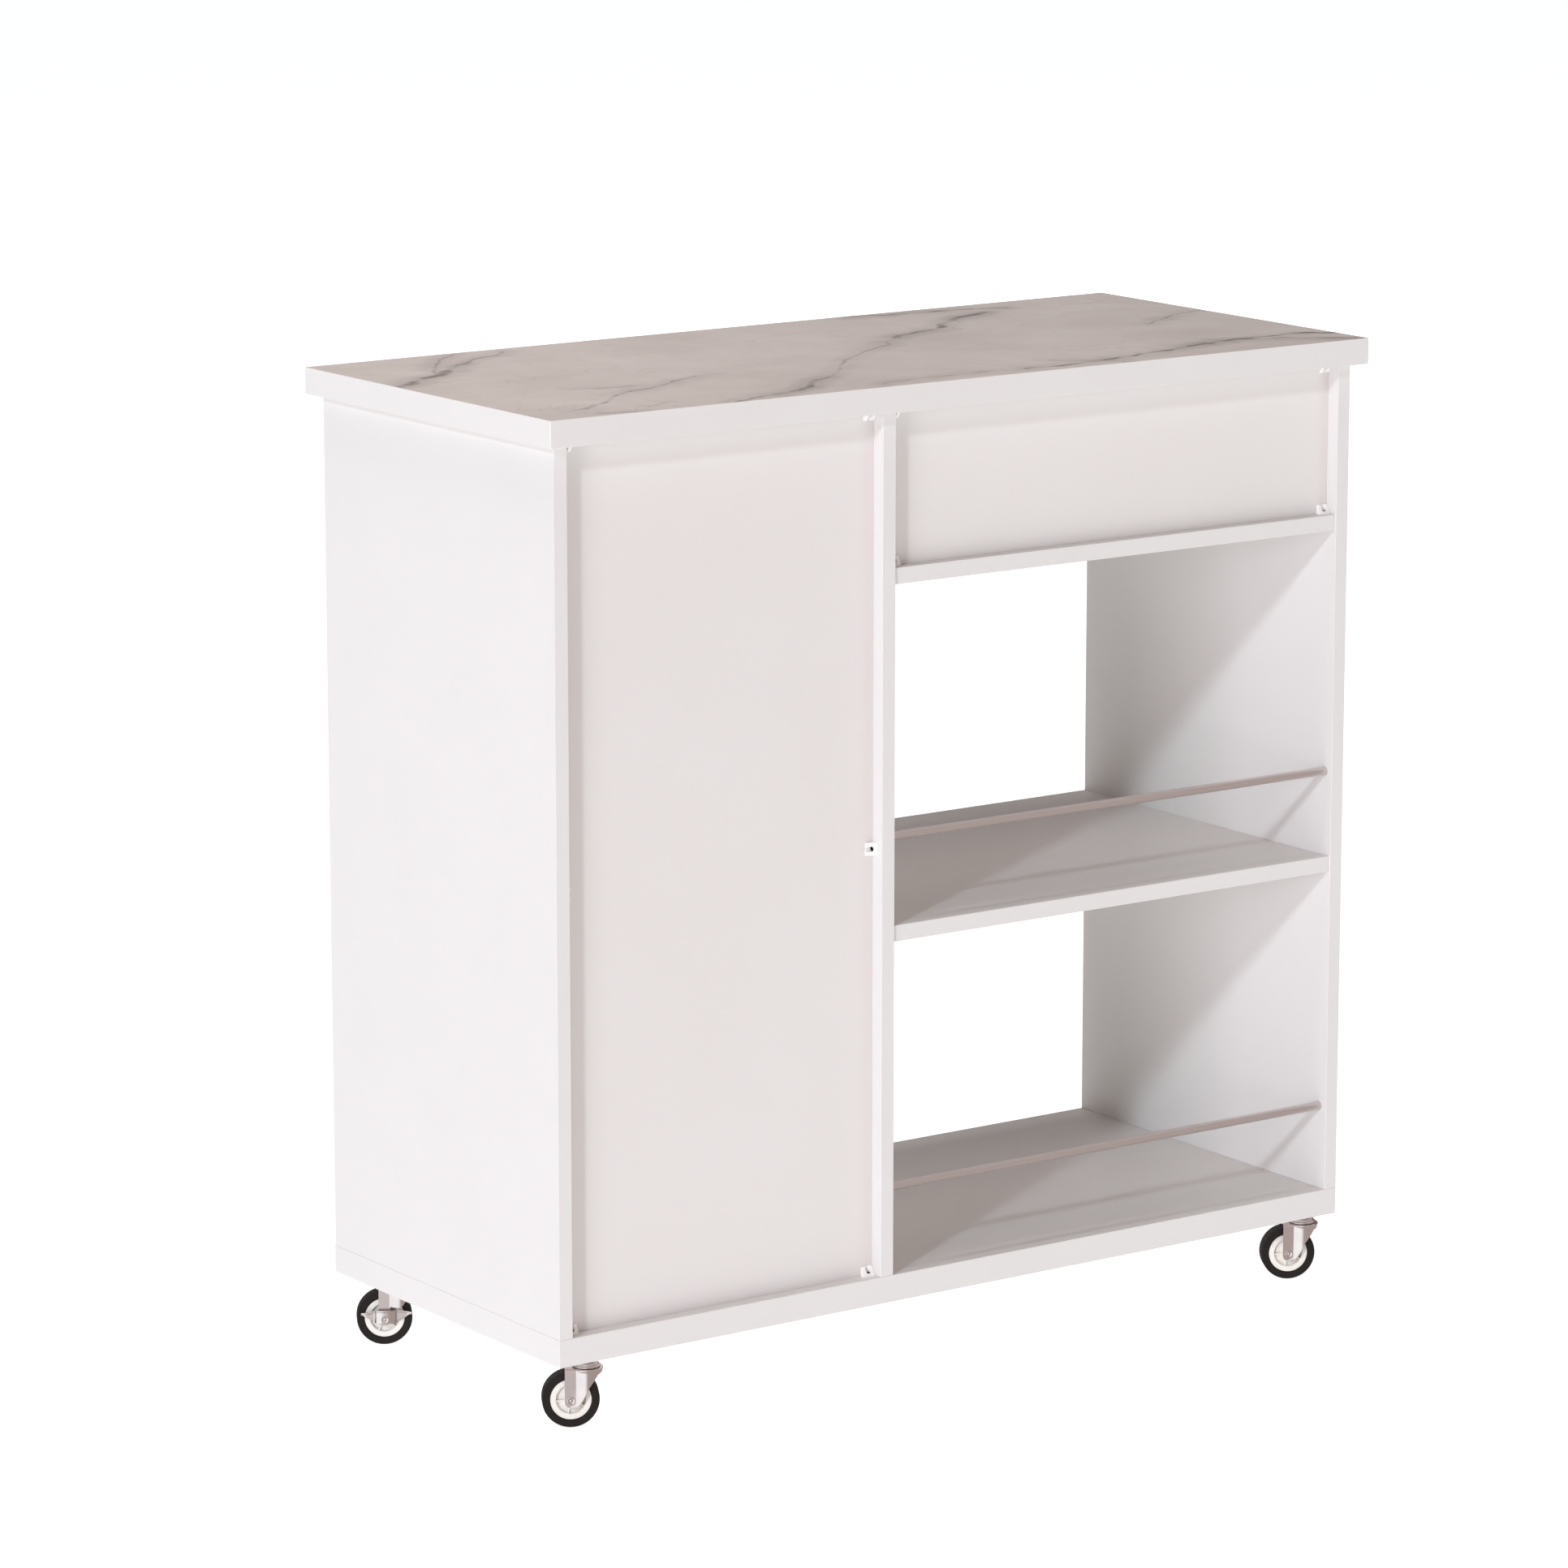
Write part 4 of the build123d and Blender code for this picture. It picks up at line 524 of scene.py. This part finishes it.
rubber, tree, place = new_finish("moulded_black_rubber")
bloom_size, skin_size = 7 * mm, 0.6 * mm
bloom = add(tree, "TexNoise", {"Vector": place, "Scale": 1 / bloom_size, "Detail": 4.0})
black = add(tree, "Mix", {
    "Factor": bloom.outputs[0], "A": linear("#120E0B"), "B": linear("#1C1714")}, data_type="RGBA")
skin = add(tree, "TexNoise", {"Vector": place, "Scale": 1 / skin_size, "Detail": 2.0})
dull = add(tree, "MapRange", {"Value": bloom.outputs[0], "To Min": 0.55, "To Max": 0.75})
skinned = add(tree, "Bump", {"Height": skin.outputs[0], "Strength": 0.3, "Distance": 0.06 * mm})
coat(tree, {"Base Color": black.outputs["Result"], "Roughness": dull.outputs[0], "IOR": 1.52,
            "Specular IOR Level": 0.3, "Normal": skinned.outputs[0]})

tyre_half_section = (
    (wheel_radius, 2.6 * mm), (wheel_radius, 5.2 * mm), (wheel_radius, 7.2 * mm),
    (wheel_radius - 0.15 * mm, 7.8 * mm), (wheel_radius - 0.6 * mm, 8.15 * mm),
    (wheel_radius - 0.95 * mm, 8.2 * mm), (wheel_radius - 1.1 * mm, tyre_half - 0.08 * mm),
    (wheel_radius - 1.35 * mm, tyre_half), (wheel_radius - 1.6 * mm, tyre_half - 0.08 * mm),
    (wheel_radius - 1.8 * mm, 8.15 * mm), (wheel_radius - 2.2 * mm, 8.1 * mm),
    (tyre_bore + 1.6 * mm, 8.1 * mm), (tyre_bore + 0.9 * mm, 8.0 * mm),
    (tyre_bore + 0.3 * mm, 7.6 * mm), (tyre_bore, 7.0 * mm))
tyre_section = both_sides(tyre_half_section)
cut_points = [n for n in range(len(tyre_section))
              if n < tread_points or n >= len(tyre_section) - tread_points]


def tooth_reach(number, angle, radius):
    """Radius of the tyre's section at an angle: the tread drops between its cross ribs."""
    step = round(angle / (2 * pi) * teeth * steps_per_tooth) % steps_per_tooth
    return radius - tooth_depth if number in cut_points and step >= steps_per_tooth / 2 else radius


for caster in casters:
    shape = bmesh.new()
    turned(shape, tyre_section, round_in(teeth * steps_per_tooth), tooth_reach)
    tyre = piece_from(shape, caster + "_ribbed_tyre", wheel_frame(caster), rubber)
    hold_flats(tyre)
    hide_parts(caster + "_tyre")
    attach(tyre, caster + "_wheel")


# Rims. Cream polypropylene, moulded in one: a broad flat ring, a sunk web stiffened by five thin
# ribs on each side, and a hub on the axle. The plastic is satin and lets a little light through.
rim_outer = tyre_bore - 0.05 * mm
rim_face = 7.0 * mm
web_face = 3.4 * mm
rib_face = 6.2 * mm
rib_half = 0.55 * mm
rib_foot = 1.25 * rib_half
hub_face = 8.0 * mm
hub_foot = 6.4 * mm
rib_count = 5
rib_turn = {True: 29.0, False: 43.0}  # degrees, with a brake and without
between_ribs = 16

cream, tree, place = new_finish("moulded_cream_polypropylene")
flow_size = 6 * mm
flow = add(tree, "TexNoise", {"Vector": place, "Scale": 1 / flow_size, "Detail": 3.0})
ivory = add(tree, "Mix", {
    "Factor": flow.outputs[0], "A": linear("#E6E2DD"), "B": linear("#DED9D2")}, data_type="RGBA")
satin = add(tree, "MapRange", {"Value": flow.outputs[0], "To Min": 0.34, "To Max": 0.46})
coat(tree, {"Base Color": ivory.outputs["Result"], "Roughness": satin.outputs[0], "IOR": 1.49,
            "Subsurface Weight": 0.12, "Subsurface Radius": (4 * mm, 3 * mm, 2 * mm)})

rim_half_section = (
    (rim_outer, 6.4 * mm), (rim_outer - 0.2 * mm, 6.85 * mm), (rim_outer - 0.6 * mm, rim_face),
    (13.9 * mm, rim_face), (13.4 * mm, rim_face - 0.15 * mm), (13.1 * mm, rim_face - 0.6 * mm),
    (12.5 * mm, web_face + 0.4 * mm), (12.1 * mm, web_face), (6.9 * mm, web_face),
    (hub_foot, web_face + 0.4 * mm), (6.0 * mm, hub_face - 0.5 * mm), (5.6 * mm, hub_face),
    (3.6 * mm, hub_face), (3.1 * mm, hub_face - 0.3 * mm))
web_points = range(6, 10)
rim_section = both_sides(rim_half_section)

for caster in casters:
    shape = bmesh.new()
    # Each ring's rib, how far beside that rib it lies, its share of the way to the next rib, and
    # whether it is on the rib
    stations = []
    for rib in range(rib_count):
        rib_angle = radians(rib_turn[caster in braked]) + 2 * pi * rib / rib_count
        for offset, on_rib in ((-rib_foot, False), (-rib_half, True), (rib_half, True), (rib_foot, False)):
            stations.append((rib_angle, offset, 0.0, on_rib))
        for step in range(1, between_ribs):
            stations.append((rib_angle, rib_foot, step / between_ribs, False))
    rings = []
    for rib_angle, offset, share, on_rib in stations:
        ring = []
        for number, (radius, height) in enumerate(rim_section):
            lean = offset / max(radius, hub_foot)
            angle = rib_angle + lean + share * (2 * pi / rib_count - 2 * lean)
            place_in_half = min(number, len(rim_section) - 1 - number)
            if on_rib and place_in_half in web_points:
                height = rib_face if height > 0 else -rib_face
            ring.append(shape.verts.new((radius * cos(angle), radius * sin(angle), height)))
        rings.append(ring)
    join_rings(shape, rings)
    rim = piece_from(shape, caster + "_ribbed_rim", wheel_frame(caster), cream)
    hold_flats(rim)
    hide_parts(caster + "_rim")
    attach(rim, caster + "_wheel")


# Axles. Steel rivets through fork and wheel, each end rolled over into a raised ring round a small
# hollow with the rivet's own centre in it. On a braked caster the rivet also holds the brake lever.
caster_zinc = plated_zinc("bright_zinc_pressing", "#D6CDCB", "#CABFBC", 0.15, 0.25, 12 * mm)
fork_sheet = 1.5 * mm
leg_inside = 9.7 * mm
leg_outside = leg_inside + fork_sheet
lever_sheet = 1.2 * mm
lever_bulge = 3.9 * mm
axle_radius = 3.0 * mm
rivet_gap = 0.05 * mm

# A rivet's head, as radius and how far it stands out
head_section = ((3.65 * mm, 0.0), (3.6 * mm, 0.35 * mm), (3.4 * mm, 0.6 * mm), (3.1 * mm, 0.7 * mm),
                (2.75 * mm, 0.6 * mm), (2.4 * mm, 0.3 * mm), (1.9 * mm, 0.12 * mm), (1.45 * mm, 0.15 * mm),
                (1.2 * mm, 0.45 * mm), (0.8 * mm, 0.65 * mm), (0.02 * mm, 0.7 * mm))

for caster in casters:
    far_face = leg_outside + rivet_gap
    near_face = leg_inside + lever_bulge + lever_sheet + rivet_gap if caster in braked else far_face
    outline = [(radius, near_face + height) for radius, height in reversed(head_section)]
    outline += [(axle_radius, near_face), (axle_radius, -far_face)]
    outline += [(radius, -far_face - height) for radius, height in head_section]
    shape = bmesh.new()
    turned(shape, outline, round_in(48))
    axle = piece_from(shape, caster + "_rivet", wheel_frame(caster), caster_zinc)
    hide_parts(caster + "_axle")
    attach(axle, caster + "_swivel")


# Forks. Pressed from 1.5 mm steel: a flat crown with a rolled lip, two flat legs for the axle, and
# between them a skirt that curves round the swivel and is cut off on a slant.
swivel_offset = 14.0 * mm
head_radius = 14.3 * mm
fork_top = joints["rear_right_swivel_turn"]["pos_m"][2] - wheel_radius
leg_half = 5.5 * mm
leg_foot = -6.6 * mm
foot_round = 4.6 * mm
skirt_end_x, skirt_end_y = 23.8 * mm, fork_top - 5.6 * mm
# The skirt's slanting lower edge, from the leg's foot to the front
skirt_edge = ((4.3 * mm, leg_foot), (8.2 * mm, -2.6 * mm), (11.7 * mm, 3.7 * mm), (14.8 * mm, 10.4 * mm),
              (skirt_end_x, skirt_end_y))
fork_front = swivel_offset + head_radius
skirt_rise = 1.6 * mm
brake_gap_y = 11.0 * mm
lip = 0.8 * mm
foot_lip_x, foot_lip_rise, foot_lip_lean = -1.6 * mm, 0.56, 0.6
crown_bend = 1.3 * mm
hair_breadth = 0.01 * mm
kingpin_hole = 4.1 * mm
crease_x = swivel_offset - sqrt(head_radius ** 2 - leg_outside ** 2)
crease_turn = atan2(leg_outside, crease_x - swivel_offset)
# The crown's edge from the skirt up, as its flare, its tuck and how far below the top it is in mm:
# over the skirt it flares into a lip, and over the legs it tucks straight in
edge_steps = ((0.0, 0.0, 3.0), (0.15, 0.0, 2.6), (0.55, 0.0, 2.15), (0.95, 0.0, 1.7), (1.0, 0.15, 1.2),
              (1.0, 0.45, 0.75), (0.8, 0.8, 0.35), (0.2, 1.3, 0.07), (-1.0, 2.2, 0.0))
bend_start = fork_top - edge_steps[0][2] * mm


def foot_edge(x):
    """Height of a leg's lower edge, with its rounded rear corner."""
    back = x + leg_half
    if back < foot_round:
        return leg_foot + foot_round - sqrt(max(foot_round ** 2 - (foot_round - back) ** 2, 0.0))
    return leg_foot


def slant_edge(x, start_y):
    """Height of the skirt's slanting lower edge, which flattens at the front."""
    if x > skirt_end_x:
        return skirt_end_y + (x - skirt_end_x) / (fork_front - skirt_end_x) * skirt_rise
    height = leg_foot
    for (near_x, near_y), (far_x, far_y) in zip(skirt_edge, skirt_edge[1:]):
        if x >= near_x:
            share = min((x - near_x) / (far_x - near_x), 1.0)
            height = near_y + share * (far_y - near_y)
    return max(height, start_y)


def foot_lip(x, height):
    """How far the rim of a leg's foot is pressed out, below the flat that the rivet sits on."""
    flat_low = leg_foot + (x - foot_lip_x) * foot_lip_rise
    return max(flat_low - height, 0.0) * foot_lip_lean if x > foot_lip_x else 0.0


def join_columns(shape, columns):
    """Faces between columns that stand side by side, but none where a column has a gap."""
    for near, far in zip(columns, columns[1:]):
        for row in range(len(near) - 1):
            corners = (near[row], far[row], far[row + 1], near[row + 1])
            if None not in corners:
                shape.faces.new(corners)


def thicken(piece, sheet, edge_radius):
    """Give a pressed piece its sheet's thickness, inwards, and round its cut edges."""
    thickness = piece.modifiers.new("sheet", "SOLIDIFY")
    thickness.thickness = sheet
    thickness.offset = -1.0
    thickness.use_quality_normals = True
    rounding = piece.modifiers.new("cut_edges", "BEVEL")
    rounding.width = edge_radius
    rounding.segments = 2
    rounding.limit_method = "ANGLE"
    rounding.angle_limit = radians(50)
    hold_flats(piece)


def fork_plan():
    """Points of a fork's outside in plan, from one leg round the head to the other, as
    (x, z, how much of the head's lip is there)."""
    side = []
    corner_steps, leg_steps, arc_steps, lip_steps = 8, 8, 44, 10
    corner_end, crease_start = foot_round - leg_half, crease_x - 0.5 * mm
    for step in range(corner_steps + 1):
        side.append((corner_end - foot_round * cos(pi / 2 * step / corner_steps), leg_outside, 0.0))
    for step in range(1, leg_steps + 1):
        side.append((corner_end + (crease_start - corner_end) * step / leg_steps, leg_outside, 0.0))
    side.append((crease_x, leg_outside + 0.12 * mm, 0.0))
    for step in range(1, arc_steps + 1):
        angle = crease_turn - crease_turn * step / arc_steps
        point = (swivel_offset + head_radius * cos(angle), head_radius * sin(angle))
        side.append((*point, min(1.0, step / lip_steps)))
    return side + [(x, -z, share) for x, z, share in reversed(side[:-1])]


for caster in casters:
    shape = bmesh.new()
    columns = []
    for x, z, share in fork_plan():
        on_head = x > crease_x - hair_breadth
        out = Vector((x - swivel_offset, z)).normalized() if on_head else Vector((0, 1 if z > 0 else -1))
        low = slant_edge(x, leg_foot) if x > skirt_edge[0][0] else foot_edge(x)
        if caster in braked:
            low = slant_edge(x, brake_gap_y)
            in_leg = x < crease_x + hair_breadth
            heights = [foot_edge(x), (foot_edge(x) + low) / 2] if in_leg else [None, None]
            heights += [low, (low + bend_start) / 2]
        else:
            flat_low = leg_foot + (x - foot_lip_x) * foot_lip_rise
            flat_low = min(max(flat_low, low + 0.5 * mm), low + (bend_start - low) / 3 + 0.1 * mm)
            heights = [low, low + (flat_low - low) / 2, flat_low, (flat_low + bend_start) / 2]
        column = []
        for height in heights:
            if height is None:
                column.append(None)
                continue
            stand = abs(z)
            pressed_out = 0.0 if caster in braked else foot_lip(x, height)
            if pressed_out > 0:
                stand = max(stand, leg_outside + pressed_out)
            column.append(shape.verts.new((x, height, stand if z > 0 else -stand)))
        for flare, tuck, drop in edge_steps:
            reach = share * flare * lip - (1 - share) * tuck * crown_bend
            if flare < 0:
                reach = -tuck * crown_bend
            column.append(shape.verts.new((x + out.x * reach, fork_top - drop * mm, z + out.y * reach)))
        columns.append(column)
    join_columns(shape, columns)
    # The flat crown, in three bands from its rim to the round kingpin hole
    crown_rim = [Vector((column[-1].co.x - swivel_offset, column[-1].co.z)) for column in columns]
    bands = [[away * share for away in crown_rim] for share in (0.75, 0.5)]
    bands.append([away.normalized() * kingpin_hole for away in crown_rim])
    previous = [column[-1] for column in columns]
    for band in bands:
        inner = [shape.verts.new((swivel_offset + away.x, fork_top, away.y)) for away in band]
        for at in range(len(inner)):
            shape.faces.new((previous[at], inner[at], inner[at - 1], previous[at - 1]))
        previous = inner
    fork = piece_from(shape, caster + "_pressed_fork", wheel_frame(caster), caster_zinc, sheet=True)
    thicken(fork, fork_sheet - 0.1 * mm, 0.22 * mm)
    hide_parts(caster + "_fork")
    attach(fork, caster + "_swivel")


# Brake levers. Pressed from 1.2 mm steel, on the front casters only: a wing on each side of the
# wheel, a bulge over the fork's leg and a ledge along the top that the foot pushes.
lever_left, lever_right = 21.5 * mm, 24.3 * mm
bulge_middle, bulge_half = 0.6 * mm, 10.2 * mm
tip_length, left_tip_in, right_tip_out = 5.0 * mm, 0.7 * mm, 0.9 * mm
# The lever's lower and upper edges, from the left tip to the right one, as x and height in mm
lever_lower = ((-21.5, 4.2), (-16.5, 1.0), (-9.8, -2.8), (-9.2, -3.8), (10.2, -3.8), (10.8, -2.8),
               (19.2, 1.0), (20.4, 2.4), (24.3, 5.0))
lever_upper = ((-21.5, 5.8), (-15.0, 6.4), (-8.0, 8.3), (-4.0, 8.7), (9.0, 8.7), (16.0, 7.8), (24.3, 6.2))


def edge_height(points, x):
    """Height at x of an edge that is given by points in mm."""
    for (near_x, near_y), (far_x, far_y) in zip(points, points[1:]):
        if x / mm <= far_x:
            return (near_y + (x / mm - near_x) / (far_x - near_x) * (far_y - near_y)) * mm
    return points[-1][1] * mm


def lever_face(x):
    """How far out the lever's face stands: flat wings, a round bulge, and tips bent a little."""
    out = leg_inside + lever_sheet
    off = abs(x - bulge_middle)
    if off < bulge_half:
        share = off / bulge_half
        out += lever_bulge * sqrt(max(1 - share ** 2.6, 0.0)) * (1 - share ** 12)
    if x < -lever_left + tip_length:
        out -= left_tip_in * ((-lever_left + tip_length - x) / tip_length) ** 2
    if x > lever_right - tip_length:
        out += right_tip_out * ((x - lever_right + tip_length) / tip_length) ** 2
    return out


lever_columns = 110
lever_rows = 10
# The bend into the ledge, as how far out and how far below the top in mm
ledge_steps = ((0.0, 1.1), (0.05, 0.75), (0.25, 0.4), (0.55, 0.1), (0.9, 0.0), (1.5, 0.0))
for caster in braked:
    shape = bmesh.new()
    columns = []
    for step in range(lever_columns + 1):
        x = -lever_left + (lever_right + lever_left) * step / lever_columns
        out, low = lever_face(x), edge_height(lever_lower, x)
        high = edge_height(lever_upper, x) - lever_sheet
        top = high - ledge_steps[0][1] * mm
        column = [shape.verts.new((x, low + (top - low) * n / lever_rows, out)) for n in range(lever_rows)]
        for reach, drop in ledge_steps:
            column.append(shape.verts.new((x, high - drop * mm, out + reach * mm)))
        columns.append(column)
    join_columns(shape, columns)
    lever = piece_from(shape, caster + "_pressed_lever", wheel_frame(caster), caster_zinc, sheet=True)
    thicken(lever, lever_sheet, 0.2 * mm)
    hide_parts(caster + "_brake_lever")
    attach(lever, caster + "_brake")


# Stems. Each is a kingpin through the fork, a pressed upper raceway like a shallow dish with a
# rolled rim, a hexagon for the spanner and a stem that screws into a nut in the bottom board.
hexagon_half = 6.5 * mm
# The stem's outline from the kingpin's head up, as radius and height above the swivel's place in mm
raceway_section = (
    (0.02, -3.5), (5.2, -3.5), (5.5, -3.2), (5.5, -1.9), (5.3, -1.7), (4.0, -1.7), (4.0, 2.6),
    (10.6, 2.6), (11.1, 2.2), (11.4, 0.5), (11.7, 0.35), (12.3, 0.4), (12.6, 0.8), (12.6, 1.3),
    (12.3, 1.8), (11.8, 2.0), (11.3, 2.1), (11.0, 2.5), (10.8, 3.5), (10.4, 4.1), (9.8, 4.35),
    (8.8, 4.4), (6.9, 4.4))
hexagon_section = ((7.2, 4.6), (7.6, 5.0), (7.6, 10.5), (7.3, 10.9), (6.4, 11.0))
screw_section = ((4.0, 11.0), (4.0, 28.4), (3.5, 29.0), (0.02, 29.0))
stem_outline = [(radius * mm, height * mm)
                for radius, height in raceway_section + hexagon_section + screw_section]
hex_points = range(len(raceway_section), len(raceway_section) + len(hexagon_section))


def hex_reach(number, angle, radius):
    """Radius of the stem at an angle: the hexagon's flats cut into its round outline."""
    if number not in hex_points:
        return radius
    flat_turn = (degrees(angle) + 30) % 60 - 30
    return min(radius, hexagon_half / cos(radians(flat_turn)))


shape = bmesh.new()
for caster in casters:
    one = bmesh.new()
    turned(one, stem_outline, round_in(72), hex_reach)
    spot = joints[caster + "_swivel_turn"]["pos_m"]
    bmesh.ops.translate(one, verts=one.verts, vec=spot)
    loose = bpy.data.meshes.new("stem")
    one.to_mesh(loose)
    one.free()
    shape.from_mesh(loose)
    bpy.data.meshes.remove(loose)
stems = piece_from(shape, "raceway_stems", Matrix.Identity(4), caster_zinc)
hold_flats(stems)
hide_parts("caster_stems")
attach(stems, "carcass")
# The balls that run between the raceway and the fork's crown
dress(screw_zinc, "swivel_balls")
